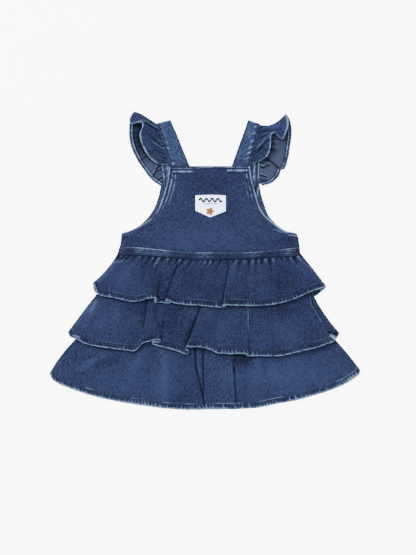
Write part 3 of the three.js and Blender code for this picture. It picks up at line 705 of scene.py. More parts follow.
@dataclass(frozen=True)
class Crease:
    """A soft ridge or trough along a straight line on the cloth (mm), with painted shade in its dark line,
    a pale line beside it that is partly wear and partly a painted highlight, and a soft pale band.
    """

    start: tuple[float, float]
    end: tuple[float, float]
    lift: float
    width: float = 4.0
    dark: float = 0.0
    pale: float = 0.0
    line: float = 1.2
    side: float = 1.0
    ease: float = 0.35
    soft_pale: float = 0.0

    def place(self, x: Array, y: Array) -> tuple[Array, Array]:
        """Find where points lie along the crease.

        Args:
            x: the points' x.
            y: the points' y.

        Returns:
            The distance to the crease's right, and its strength, eased to nothing past both ends.
        """
        ax, ay = self.start
        bx, by = self.end
        length = math.hypot(bx - ax, by - ay)
        ux, uy = (bx - ax) / length, (by - ay) / length
        along = (x - ax) * ux + (y - ay) * uy
        across = (y - ay) * ux - (x - ax) * uy
        reach = self.ease * length
        return across, smooth(along / reach) * smooth((length - along) / reach)

    def height(self, x: Array, y: Array) -> Array:
        """Height that the crease adds: lift * bell(distance)."""
        across, ends = self.place(x, y)
        return self.lift * bell(across, self.width) * ends

    def darkness(self, x: Array, y: Array) -> Array:
        """Painted shade: a dark line in the crease."""
        across, ends = self.place(x, y)
        return self.dark * bell(across, self.line) * np.sqrt(ends)

    def paleness(self, x: Array, y: Array) -> Array:
        """Pale line beside the crease's dark one: partly wear, partly a painted highlight on the fold's
        edge.

        Args:
            x: across the dress in mm.
            y: up the dress in mm.

        Returns:
            Wear and painted highlight at every point, 0 where there is none.
        """
        across, ends = self.place(x, y)
        beside = across - self.side * 1.5 * self.line * (self.dark > 0)
        return self.pale * bell(beside, self.line) * np.sqrt(ends)

    def soft_paleness(self, x: Array, y: Array) -> Array:
        """Soft lighter band along the crease: partly faded dye, partly a painted highlight."""
        across, ends = self.place(x, y)
        return self.soft_pale * bell(across, 2.0 * self.line) * np.sqrt(ends)


@dataclass(frozen=True)
class TonePatch:
    """A broad patch, paler (strength above 0) or darker (below 0) (mm): mostly dye that has washed out or
    stayed, in one place painted shade.
    """

    x: float
    y: float
    across: float
    down: float
    strength: float

    def amount(self, x: Array, y: Array) -> Array:
        """Strength times a bell in both directions."""
        return self.strength * bell(x - self.x, self.across) * bell(y - self.y, self.down)


def add_up(marks: tuple, amount: Callable, x: Array, y: Array) -> Array | float:
    """Sum of one amount, such as Crease.height, over all marks at the points x, y."""
    return sum(amount(mark, x, y) for mark in marks)


@dataclass(frozen=True)
class Station:
    """One line of a tier, from its top seam to its hem (mm)."""

    top: float
    hem: float
    drop: float
    rise: float = 0.0
    shift: float = 0.0
    bow: float = 0.0


def pleat(
    top: float, hem: float, overlap: float, left: tuple, right: tuple, bow: float = 0.0
) -> list[Station]:
    """Six stations of a pleat, whose lower ply slides under the higher one.

    Args:
        top: where its crease leaves the top seam.
        hem: where its crease meets the hem.
        overlap: how far the lower ply goes under the higher one at the hem.
        left: the hem's drop and lift on the left of the crease.
        right: the same on its right.
        bow: how far the crease bends to the right at half its length.

    Returns:
        The stations, from left to right.
    """
    nose = abs(right[1] - left[1]) / 4
    left_over = left[1] > right[1]
    left_shift = 0.0 if left_over else overlap
    right_shift = -overlap if left_over else 0.0
    steps = (-1.0, -0.6, -0.2, 0.2, 0.6, 1.0)
    shifts = (left_shift, left_shift + nose, left_shift, right_shift, right_shift - nose, right_shift)
    drops = mix(left[0], right[0], np.array([0.0, 0.25, 0.5, 0.5, 0.75, 1.0]))
    rises = mix(left[1], right[1], np.array([0.0, 0.25, 0.5, 0.5, 0.75, 1.0]))
    return [
        Station(top + step, hem + step, drop, rise, shift, bow)
        for step, shift, drop, rise in zip(steps, shifts, drops, rises)
    ]


def stations(*rows: tuple | list[Station]) -> tuple[Station, ...]:
    """A tier's stations from rows of a station's numbers and from the lists that pleat() makes.

    Args:
        rows: rows of numbers and lists of stations, from left to right.

    Returns:
        The stations.
    """
    return tuple(
        station for row in rows for station in (row if isinstance(row, list) else [Station(*row)])
    )


@dataclass
class Waist:
    """The waistband's two lines, with the waist seam halfway between them (mm)."""

    x: tuple = (-131, -110, -77, -52, -20, 17, 54, 88, 122, 142)
    upper: tuple = (18.6, 20.0, 17.4, 14.8, 12.1, 12.1, 12.0, 13.8, 17.4, 20.0)
    lower: tuple = (7.4, 8.2, 7.0, 5.0, 2.4, 1.4, 2.8, 5.0, 6.0, 7.6)

    def upper_line(self, x: Array) -> Array:
        """Height of the band's upper edge on the dress."""
        return profile(self.x, self.upper)(x)

    def lower_line(self, x: Array) -> Array:
        """Height of the band's lower edge on the dress."""
        return profile(self.x, self.lower)(x)

    def seam(self, x: Array) -> Array:
        """Height of the waist seam on the dress."""
        return (self.upper_line(x) + self.lower_line(x)) / 2


@dataclass
class Bodice:
    """The bib and the back bodice: outlines and heights at each distance up the dress (mm)."""

    waist: Waist
    y: tuple = (139, 121, 109, 99, 81, 69, 60, 51, 44, 40, 28, 10)
    left: tuple = (-54.1, -56.0, -59.0, -62.0, -68.6, -75.6, -85.4, -99.6, -115.2, -125.4, -126.4, -131.2)
    right: tuple = (67.6, 70.4, 73.6, 76.2, 82.0, 89.6, 99.2, 110.6, 122.6, 138.0, 141.0, 143.2)
    edge: tuple = (3.9, 3.6, 3.55, 2.4, 1.85, 1.85, 1.85, 1.85, 1.85, 1.85, 1.85, 1.85)
    crown: tuple = (3.9, 3.8, 3.7, 3.2, 3.0, 3.1, 3.3, 3.6, 3.9, 4.1, 4.5, 4.6)
    tone_patches: tuple = (
        TonePatch(6, 30, 80, 26, 0.25), TonePatch(6, 118, 60, 14, -0.12), TonePatch(-116, 34, 14, 8, -0.3),
        TonePatch(120, 30, 20, 8, -0.2), TonePatch(-44, 96, 14, 30, 0.1), TonePatch(60, 96, 14, 30, 0.1),
    )
    back_y: tuple = (121, 99, 81, 69, 58, 51, 44, 40, 28, 10)
    back_left: tuple = (-65.0, -69.2, -75.4, -82.4, -92.0, -101.0, -115.4, -125.4, -126.4, -131.2)
    back_right: tuple = (80.8, 84.6, 90.2, 94.8, 103.4, 111.4, 122.8, 138.0, 141.0, 143.2)
    back_seam: Crease = Crease((80.2, 124), (76.2, 95), 0.0, 1.0, 0.4, 0.95, 1.0, 1, 0.1)
    lowest: float = 28.0
    top: float = 141.7
    creases: tuple = (
        Crease((-118, 36), (-60, 26), 0.7, 6.0),
        Crease((-104, 40), (-66, 54), -0.5, 5.0),
        Crease((132, 34), (84, 28), 0.7, 6.0),
        Crease((118, 42), (80, 52), -0.5, 5.0),
        Crease((-50, 60), (-38, 24), 0.35, 7.0),
        Crease((64, 66), (58, 24), 0.4, 7.0),
        Crease((10, 56), (6, 20), 0.3, 8.0),
        Crease((-30, 100), (-34, 66), -0.3, 8.0),
        Crease((48, 104), (54, 70), -0.3, 8.0),
        Crease((122, 37), (143, 34), 0.3, 2.0, 0.3, 0.7, 1.2),
        Crease((96, 46), (126, 37), 0.3, 2.5, 0.1, 0.35, 1.6),
        Crease((-126, 37), (-104, 40), 0.3, 2.5, 0.0, 0.25, 1.6),
    )

    def sides(self, y: Array) -> tuple[Array, Array]:
        """The bib's left and right outline at heights on the dress."""
        return profile(self.y, self.left)(y), profile(self.y, self.right)(y)

    def height(self, x: Array, y: Array) -> Array:
        """Height of the bib's ply: the crown, rolled down to the edge height at its sides.

        Args:
            x: across the dress in mm.
            y: up the dress in mm.

        Returns:
            The height of the ply's middle in mm.
        """
        left, right = self.sides(y)
        inside = np.minimum(x - left, right - x)
        return mix(profile(self.y, self.edge)(y), profile(self.y, self.crown)(y), side_roll(inside))

    def grid(
        self, left: Curve, right: Curve, top: float, columns: int, rows: int
    ) -> tuple[Array, Array, Array]:
        """Plane points of a panel between two side outlines, with its foot on the waist seam.

        Args:
            left: left outline as a function of the height on the dress.
            right: right outline, likewise.
            top: height of the upper edge.
            columns: number of columns, closer at the sides.
            rows: number of rows from the upper edge to the foot.

        Returns:
            The points' x and y, and their distance from the nearer side.
        """
        edge = np.array([0.0, 0.15, 0.4, 0.8, 1.4, 2.2]) / 120
        inner = 0.5 - 0.5 * np.cos(np.linspace(0, math.pi, columns)[1:-1])
        inner = inner[(inner > 0.024) & (inner < 0.976)]
        part = np.concatenate([edge, inner, 1 - edge[::-1]])
        near_top = np.array([0.0, 0.12, 0.3, 0.6, 1.0, 1.6, 2.3, 3.0, 3.8, 4.8])
        y = np.concatenate([top - near_top, np.linspace(top - 6, self.lowest, rows)])
        foot = self.waist.seam(mix(left(y[-1]), right(y[-1]), part)) + 0.3
        down = np.linspace(0, 1, 10)[1:]
        low = mix(self.lowest, foot[:, None], down[None])
        full = np.concatenate([np.broadcast_to(y, (len(part), len(y))), low], axis=1)
        left_x, right_x = left(full), right(full)
        x = mix(left_x, right_x, part[:, None])
        return x, full, np.minimum(x - left_x, right_x - x)

    def bib(self) -> ClothWall:
        """Work out the front bib with its rolled top, its armhole stitching and its wear.

        Returns:
            The wall.
        """
        left, right = profile(self.y, self.left), profile(self.y, self.right)
        x, y, inside = self.grid(left, right, self.top, 210, 110)
        from_top = self.top - y
        along = np.where(x < 6, y, 300 - y)
        # Relief: soft lumps, creases, the stitch groove and puckers along the armholes
        z = self.height(x, y) + 0.28 * lumps(x, y, 34, 11) + 0.12 * lumps(x, y, 13, 12)
        z = z + add_up(self.creases, Crease.height, x, y) * side_roll(inside)
        open_edge = smooth((y - 38) / 4)
        distance = self.armhole_distance(x, y)
        upper = smooth((y - 66) / 30)
        slant = along + 0.9 * distance
        pucker = np.clip(0.62 + 0.5 * wander(slant, 5.0, 21) + 0.3 * wander(slant, 2.2, 26), 0, 1.2)
        groove = bell(distance - 3.9, 0.9) * open_edge
        z = z - 0.32 * groove - 0.3 * bell(from_top - 4.0, 0.8)
        z = z + 0.3 * (pucker - 0.5) * bell(distance - 7.5, 4.5) * open_edge * (0.3 + 0.7 * upper)
        # Wear: the edges, the armholes' rows, the strap ends' tacked bars and the upper row
        ends = np.minimum(np.abs(x + 33.0) / 15.5, np.abs(x - 48.7) / 15.5)
        tacked = smooth((1.05 - ends) / 0.12)
        flicker = 0.75 + 0.35 * wander(x, 2.2, 23)
        on_right = smooth((x - 20) / 20)
        below = from_top - 1.8 * smooth((10 - x) / 40)
        edge_wear = 0.4 + 0.4 * wander(along, 6.0, 22) + 0.5 * upper + 0.75 * on_right * (1 - upper)
        wear_and_highlight = 0.9 * bell(distance - mix(1.7, 1.0, upper), 1.35) * open_edge * edge_wear
        second = bell(distance - 6.4 - 0.6 * wander(along, 9.0, 27), 1.2)
        third = bell(distance - 11.2 - 0.8 * wander(along, 7.0, 28), 1.3) * smooth((from_top - 9) / 8)
        below_bar = smooth((below - 9.5) / 2.5)
        wear_and_highlight = wear_and_highlight + 0.72 * second * open_edge * pucker * (0.22 + 0.95 * upper) * below_bar
        wear_and_highlight = wear_and_highlight + 0.6 * third * pucker * upper * below_bar
        wear_and_highlight = wear_and_highlight + tacked * flicker * (1.2 * bell(below - 6.7, 1.3) + 0.3 * bell(below - 9.0, 0.7))
        wear_and_highlight = wear_and_highlight + 0.85 * bell(below - 2.0, 0.7) * (0.85 + 0.4 * wander(x, 4.1, 24))
        wear_and_highlight = wear_and_highlight + 0.1 * bell(from_top - 7.0, 1.2) * flicker
        waist_gap = y - self.waist.upper_line(x)
        wear_and_highlight = wear_and_highlight + 0.25 * bell(waist_gap - 0.6, 1.4) * (0.5 + 0.5 * wander(x, 5.0, 25))
        # Shade beside the rows, and the turned edges' thickness
        shade = 0.35 * bell(from_top - 0.2, 0.7) + 0.7 * groove * (0.5 + 0.5 * upper)
        shade = shade + 0.5 * bell(below - 10.4, 1.2) * tacked + 0.6 * bell(below - 4.0, 0.8)
        shade = shade + 0.35 * bell(distance - 8.9, 0.9) * upper
        shade = shade + 0.25 * bell(waist_gap, 2.4)
        rim = rounded(np.minimum(np.where(y > 36, inside * 1.2, 9.0), from_top), 0.7)
        roll = CLOTH + 0.5 * smooth((9.4 - from_top) / 1.2)
        roll = roll + 0.4 * smooth((7.4 - distance) / 1.2) * open_edge
        wear_and_highlight = wear_and_highlight + add_up(self.creases, Crease.paleness, x, y)
        shade = np.clip(shade + add_up(self.creases, Crease.darkness, x, y), 0, 1)
        fade_and_painted_light = add_up(self.tone_patches, TonePatch.amount, x, y)
        return ClothWall("front_bib_cloth", np.stack([x, y, z], -1), roll * rim, wear_and_highlight, shade, fade_and_painted_light=fade_and_painted_light)

    def armhole_distance(self, x: Array, y: Array) -> Array:
        """Distance from a point to the nearest armhole edge (mm), by the outline's nearest point.

        Args:
            x: across the dress in mm.
            y: up the dress in mm.

        Returns:
            The distance at every point.
        """
        heights = np.linspace(40, self.y[0], 60)
        away = [
            np.sqrt((x[..., None] - side) ** 2 + (y[..., None] - heights) ** 2).min(axis=-1)
            for side in self.sides(heights)
        ]
        return np.minimum(*away)

    def back(self) -> ClothWall:
        """Work out the back bodice, flat on the surface, with its facing along the armholes.

        Returns:
            The wall.
        """
        left, right = profile(self.back_y, self.back_left), profile(self.back_y, self.back_right)
        x, y, inside = self.grid(left, right, self.back_y[0], 60, 50)
        y = np.maximum(y, self.waist.upper_line(x) + 0.6)
        wear_and_highlight = 0.55 * bell(inside, 1.0) * smooth((y - 38) / 4)
        wear_and_highlight = wear_and_highlight + 0.2 * bell(inside - 4, 2.5) * (0.5 + 0.5 * wander(y, 5.0, 31))
        # Painted light: the 0.14 added over the whole back lightens it where it lies in the shadow of the
        # front
        wear_and_highlight = wear_and_highlight + self.back_seam.paleness(x, y) + 0.14
        shade = 0.15 + self.back_seam.darkness(x, y)
        z = np.full_like(x, ply(0))
        return ClothWall("back_bodice_cloth", np.stack([x, y, z], -1), np.full_like(x, CLOTH), wear_and_highlight, shade)


@dataclass
class Waistband:
    """The stitched band over the waist seam, quilted by three rows and worn in places."""

    waist: Waist
    bodice: Bodice
    rows: tuple = (0.2, 0.49, 0.78)
    ribs: tuple = ((0.06, 1.25), (0.345, 0.8), (0.635, 0.7), (0.92, 0.5))
    worn_stretches: tuple = ((-112, -44, 0.74), (-20, 18, 0.68), (52, 90, 0.58), (108, 140, 0.64))
    lift: float = LAYER + 0.35

    def grid(self, columns: int, parts: Array) -> tuple[Array, Array]:
        """Plane points of the band: columns along it, parts from its upper to its lower line.

        Args:
            columns: number of columns.
            parts: 0 at the upper line to 1 at the lower one.

        Returns:
            Two grids, x and y.
        """
        part = np.linspace(0, 1, columns)[:, None]
        left, _ = self.bodice.sides(mix(self.waist.upper[0], self.waist.lower[0], parts))
        _, right = self.bodice.sides(mix(self.waist.upper[-1], self.waist.lower[-1], parts))
        x = mix(left[None], right[None], part)
        return x, mix(self.waist.upper_line(x), self.waist.lower_line(x), parts[None])

    def front(self) -> ClothWall:
        """Work out the front band.

        Between the stitch rows the cloth swells in a quilted ripple, and the rows sit in grooves.

        Returns:
            The wall.
        """
        near = np.array([0.0, 0.01, 0.03, 0.06])
        parts = np.concatenate([near, np.linspace(0.09, 0.91, 38), [0.94, 0.97, 0.99, 1.0]])
        x, y = self.grid(460, parts)
        z = self.bodice.height(x, np.maximum(y, self.waist.seam(x))) + self.lift
        part = parts[None] * np.ones_like(x)
        groove = sum(bell(part - row, 0.05) for row in self.rows)
        ripple = gather_wave(x + 3 * part, 3.4) * (1 - np.clip(groove, 0, 1))
        z = z - 0.38 * groove + 0.2 * ripple + 0.12 * wander(x, 7.0, 41)
        stretch = sum(
            strength * smooth((x - low) / 16) * smooth((high - x) / 16)
            for low, high, strength in self.worn_stretches
        )
        wear_and_highlight = 0.05 * np.ones_like(x)
        for number, (at, strength) in enumerate(self.ribs):
            ticks = 0.55 + 0.3 * gather_wave(x + 1.7 * number, 2.6) + 0.35 * wander(x, 5.0, 42 + number)
            steady, base = (0.6, 0.34) if number == 0 else (0.0, 0.16)
            level = mix(np.clip(ticks, 0, 1.2), 1.0, steady)
            wear_and_highlight = wear_and_highlight + strength * bell(part - at, 0.08) * level * (base + (1.05 - base) * stretch)
        shade = 0.6 * groove * (1 - 0.35 * stretch) + 0.28 * (1 - stretch) + 0.3 * bell(part - 1.0, 0.1)
        ends = np.minimum(x - self.waist.x[0], self.waist.x[-1] - x)
        rim = rounded(np.minimum(np.minimum(parts, 1 - parts)[None] * 11.5, ends + 0.2), 0.5)
        points = np.stack([x, y, z], -1)
        return ClothWall("waistband_front_cloth", points, rim * CLOTH, wear_and_highlight, np.clip(shade, 0, 1))

    def back(self) -> ClothWall:
        """Work out the back band, flat between the back bodice and the first tier.

        Returns:
            The wall.
        """
        x, y = self.grid(120, np.linspace(0, 1, 12))
        points = np.stack([x, y, np.full_like(x, ply(0))], -1)
        wear_and_highlight, shade = np.full_like(x, 0.25), np.full_like(x, 0.1)
        return ClothWall("waistband_back_cloth", points, np.full_like(x, CLOTH), wear_and_highlight, shade)

    def stitches(self, wall: ClothWall) -> list[StitchRun]:
        """Rows of stitches in the band's grooves.

        Args:
            wall: the front band's wall.

        Returns:
            The rows.
        """
        y = wall.middle[len(wall.middle) // 2, :, 1]
        parts = (y[0] - y) / (y[0] - y[-1])
        return [wall.stitch_run(int(np.argmin(np.abs(parts - row))), 2) for row in self.rows]


@dataclass
class Tier:
    """One tier of the skirt, front or back: lines run from its top seam to its hem (mm)."""

    name: str
    stations: tuple[Station, ...]
    seam: Curve
    base: Curve
    edge: Curve
    lift: Curve
    body_rows: int = 34
    pitch: float = 1.5
    gathers: float = 0.0
    turn: float = HEM_TURN
    swell: float = 0.3
    creases: tuple[Crease, ...] = ()
    tone_patches: tuple[TonePatch, ...] = ()
    # Hem of the tier above, under which a shadow is painted
    over: Curve | None = None
    seed: int = 1
    wear: float = 1.0
    bars: float = 0.6
    ticks: float = 0.5
    rim_at: float = 0.6
    face_down: bool = False
    hem_steps: tuple = (
        0, 0.1, 0.3, 0.6, 1.0, 1.6, 2.4, 3.4, 4.6, 5.8, 6.8, 7.5, 7.9, 8.3, 8.7, 9.1, 9.6, 10.3, 11.3, 12.6,
    )

    def columns(self) -> tuple[Array, Array]:
        """Read the tier's table along its hem.

        Returns:
            The hem's points (x, y, lift) and the top's values (x, shift, bow) at each column.
        """
        hem = np.array([(s.hem, s.drop, s.rise) for s in self.stations])
        head = np.array([(s.top, s.shift, s.bow) for s in self.stations])
        places = spread(np.linalg.norm(np.diff(hem[:, :2], axis=0), axis=1), self.pitch)
        return rail(hem, places), rail(head, places)

    def wall(self) -> ClothWall:
        """Work out the tier.

        A point is mix(top, hem, v), slid sideways under its pleat, on the stack's height with the
        side folds rolled down, plus the pleats' lift, the gathers, the creases and a soft swell.

        Returns:
            The wall.
        """
        # Grid: columns along the hem, rows closest at the turned hem
        foot, head = self.columns()
        top_y = self.seam(head[:, 0])
        length = np.hypot(foot[:, 0] - head[:, 0], foot[:, 1] - top_y)
        hem_zone = np.array(self.hem_steps)
        body = 1 - (1 - np.linspace(0, 1, self.body_rows)[1:]) ** 1.35
        from_hem = np.concatenate(
            [np.broadcast_to(hem_zone, (len(length), len(hem_zone))),
             mix(hem_zone[-1], length[:, None], body[None])], axis=1)[:, ::-1]
        v = 1 - from_hem / length[:, None]
        lift = self.lift(v)
        x = mix(head[:, :1], foot[:, :1], v) + head[:, 1:2] * lift + head[:, 2:3] * 4 * v * (1 - v)
        y = mix(top_y[:, None], foot[:, 1:2], v)
        along = running_length(foot[:, :2])[:, None] * np.ones_like(v)
        left, right = self.side(x[0], y[0], y), self.side(x[-1], y[-1], y)
        # Height: the stack, rolled down at the sides, with gathers, creases and a puckered hem
        side = np.minimum(x - left, right - x)
        roll = side_roll(side)
        low = np.minimum(self.edge(y), self.base(y))
        z = mix(low, self.base(y), roll) + foot[:, 2:3] * lift * roll
        wave = self.gather_height(head[:, :1], v * length[:, None])
        visible = smooth((v - 0.05) / 0.1)
        soft = 0.6 * lumps(x, y, 26, self.seed) + 0.3 * lumps(x, y, 9, 7)
        z = z + wave + self.swell * roll * visible * soft
        z = z + add_up(self.creases, Crease.height, x, y)
        hem_part = smooth((HEM_DEPTH + 0.6 - from_hem) / 0.8)
        slant = along + 0.12 * from_hem
        pucker = np.clip(0.6 * gather_wave(slant, 5.2) + 0.65 * wander(slant, 2.9, self.seed + 2), -1, 1)
        row = bell(from_hem - HEM_DEPTH, 0.55)
        turned = self.turn > 0
        z = z + turned * (0.16 * pucker * hem_part * bell(from_hem - 5.0, 3.5) - 0.32 * row)
        y = y + turned * 0.3 * wander(along, 3.0, self.seed + 3) * bell(from_hem, 2.5)
        thickness = (CLOTH + self.turn * hem_part) * rounded(from_hem, 0.75)
        # Wear, painted highlights on the gathers and folds, and painted shade
        wear_and_highlight = self.worn_parts(along, from_hem, pucker, row) * self.wear
        low_side = 0.35 + 0.75 * np.exp(-from_hem / 16)
        wear_and_highlight = wear_and_highlight + low_side * bell(side, 1.6) * (0.6 + 0.5 * wander(y, 4.0, self.seed + 5)) * self.wear
        wear_and_highlight = wear_and_highlight + add_up(self.creases, Crease.paleness, x, y)
        shade = 0.45 * row * turned + 0.08 * hem_part * turned + add_up(self.creases, Crease.darkness, x, y)
        # Painted highlight on the gathers' ridges and painted shade in their troughs
        if self.gathers:
            wear_and_highlight = wear_and_highlight + 0.36 * smooth((wave - 0.08) / 0.55)
            shade = shade + 0.8 * smooth(-wave / 0.5)
        # Painted shadow under the hem of the tier above
        if self.over:
            shade = shade + 0.5 * np.exp(-np.maximum(0.0, self.over(x) - y) / 3.2)
        fade_and_painted_light = add_up(self.tone_patches, TonePatch.amount, x, y) + add_up(self.creases, Crease.soft_paleness, x, y)
        fade_and_painted_light = fade_and_painted_light - 0.22 * hem_part * turned
        reverse = smooth((from_hem - HEM_DEPTH) / 1.0)
        inside = (reverse, 0.0) if self.face_down else (0.0, reverse)
        return ClothWall(self.name, np.stack([x, y, z], -1), thickness, np.clip(wear_and_highlight, 0, 1.4),
                         np.clip(shade, 0, 1), inside, np.stack([along, y], -1), fade_and_painted_light)

    def hem_line(self) -> Curve:
        """The hem's height on the dress at each x, its lowest ply where it is folded.

        Returns:
            A function from x to the hem's y.
        """
        foot, _ = self.columns()
        order = np.argsort(foot[:, 0])
        return lambda x: np.interp(x, foot[order, 0], foot[order, 1])

    def side(self, edge_x: Array, edge_y: Array, y: Array) -> Array:
        """The side edge's x at each height on the dress."""
        order = np.argsort(edge_y)
        return np.interp(y, edge_y[order], edge_x[order])

    def gather_height(self, top_x: Array, fallen: Array) -> Array:
        """Height of the gathers: waves that start below the waistband and fade unevenly.

        Args:
            top_x: where each column leaves the seam.
            fallen: how far down it each point is, in mm.

        Returns:
            The height in mm.
        """
        below = fallen - GATHER_START
        reach = 8.5 * (1 + 0.6 * wander(top_x, 8.0, self.seed + 4))
        size = 0.92 + 0.4 * wander(top_x, 9.0, self.seed + 6)
        fade = smooth(below / 2.2 + 0.5) * np.exp(-np.maximum(0, below) / reach)
        lean = 0.42 * smooth((70 - top_x) / 50)
        wave = gather_wave(top_x + lean * below, GATHER_PITCH)
        return self.gathers * size * fade * (wave + 0.35 * wander(top_x + lean * below, 2.4, self.seed + 9))

    def worn_parts(self, along: Array, from_hem: Array, pucker: Array, row: Array) -> Array:
        """Wear of a hem: its edge, short bars across the turned band and the stitch row's side.

        Args:
            along: distance along the hem in mm.
            from_hem: distance above the hem's edge in mm.
            pucker: the hem's puckers, 0 to 1.
            row: the stitch groove, 0 to 1.

        Returns:
            Wear at every point.
        """
        edge = 0.86 + 0.42 * wander(along, 3.1, self.seed + 7) + 0.16 * wander(along, 50.0, self.seed + 13)
        edge = edge * bell(from_hem - self.rim_at, 1.2)
        inner = smooth(from_hem / 1.2) * (0.5 + 0.5 * smooth((HEM_DEPTH - 1.5 - from_hem) / 4))
        inner = inner * smooth((HEM_DEPTH - from_hem) / 1.2)
        stretch = np.clip(0.7 + 0.5 * wander(along, 24.0, self.seed + 8), 0.45, 1.1)
        inner = inner * (0.35 + 0.65 * smooth((from_hem - 1.0) / 1.8))
        bars = smooth((pucker + 0.1) / 0.8) * inner * stretch * self.bars
        rubbed_row = smooth(wander(along, 17.0, self.seed + 10) * 2 + 0.3)
        ticks = bell(from_hem - HEM_DEPTH - 1.0, 0.6) * rubbed_row * (0.6 + 0.4 * gather_wave(along, 3.0))
        return edge + bars + self.ticks * ticks + 0.12 * row

    def stitches(self, wall: ClothWall) -> list[StitchRun]:
        """The row of stitches along the turned hem, at the grid's step nearest to it."""
        from_end = int(np.argmin(np.abs(np.array(self.hem_steps) - HEM_DEPTH)))
        return [wall.stitch_run(wall.middle.shape[1] - 1 - from_end)]


@dataclass
class Strip:
    """A strip through sections that run from one edge to the other (mm)."""

    first: Array
    second: Array
    parts: Array
    pitch: float

    def grid(self) -> tuple[Array, Array, Array]:
        """Work out the strip's points.

        Returns:
            The middle points, the length along the second edge and the part across.
        """
        lengths = np.linalg.norm(np.diff(self.second, axis=0), axis=1)
        places = spread(lengths, self.pitch, 4)
        one, two = rail(self.first, places), rail(self.second, places)
        points = mix(one[:, None], two[:, None], self.parts[None, :, None])
        along = running_length(two)[:, None] * np.ones_like(self.parts)[None]
        return points, along, self.parts[None] * np.ones_like(along)


@dataclass
class Strap:
    """A shoulder strap from under the bib over the shoulder to the back."""

    name: str
    outer_x: tuple
    outer_y: tuple
    inner_x: tuple
    inner_y: tuple
    height: tuple = (2.4, 2.6, 3.2, 3.9, 4.7, 4.8, 4.4, 2.8, 1.2, 0.7, 0.7, 0.7, 2.0, 2.0)
    mirrored: bool = False
    seed: int = 60

    def wall(self) -> ClothWall:
        """Work out the strap, its two stitch grooves, its puckered outer seam and its worn edges.

        Returns:
            The wall.
        """
        outer = np.stack([self.outer_x, self.outer_y, self.height], -1).astype(float)
        inner = np.stack([self.inner_x, self.inner_y, self.height], -1).astype(float)
        first, second = (inner, outer) if self.mirrored else (outer, inner)
        edge = np.array([0.0, 0.008, 0.02, 0.045, 0.08])
        parts = np.concatenate([edge, np.linspace(0.12, 0.88, 22), 1 - edge[::-1]])
        points, along, part = Strip(first, second, parts, 1.6).grid()
        width = np.linalg.norm(points[:, -1] - points[:, 0], axis=1)[:, None]
        from_outer = (1 - part if self.mirrored else part) * width
        from_inner = width - from_outer
        rim = rounded(np.minimum(from_outer, from_inner), 0.7)
        rows = bell(from_outer - 3.0, 0.7) + bell(from_inner - 3.0, 0.7)
        points[..., 2] += 0.22 * wander(along, 9.0, self.seed) * rim - 0.12 * rows
        points[..., 2] = np.maximum(STRAP / 2, points[..., 2])
        flicker = 0.6 + 0.4 * wander(along, 3.0, self.seed + 1)
        behind = smooth((2.2 - points[..., 2]) / 0.8) * smooth((along - 90) / 20)
        slant = along + 0.35 * from_outer
        pucker = np.clip(0.5 + 0.6 * wander(slant, 7.0, self.seed + 2), 0, 1)
        pucker = smooth(gather_wave(slant, 8.6) * 1.2 - 0.2) * pucker
        wear_and_highlight = 0.3 * bell(from_outer, 0.9) * flicker + 0.32 * bell(from_inner, 1.0) * flicker
        wear_and_highlight = wear_and_highlight + 0.1 * rows * flicker
        wear_and_highlight = wear_and_highlight + 1.15 * pucker * bell(from_outer - 6.0, 2.6) * (1 - behind) + 0.05
        wear_and_highlight = wear_and_highlight + 0.28 * np.clip(lumps(part * 30, along, 3.4, self.seed + 4), 0, 1)
        seams = 1.1 * bell(from_outer - 0.7, 1.1) + 0.8 * bell(from_outer - 7.6, 1.4)
        wear_and_highlight = wear_and_highlight + behind * flicker * seams
        shade = 0.3 * rows + 0.8 * bell(from_outer - 2.8, 0.9) * (1 - behind)
        shade = shade + 0.6 * bell(from_outer - 3.8, 1.2) * behind
        cloth = np.stack([part * 22, along], -1)
        return ClothWall(self.name, points, STRAP * rim, wear_and_highlight, np.clip(shade, 0, 1), cloth=cloth)


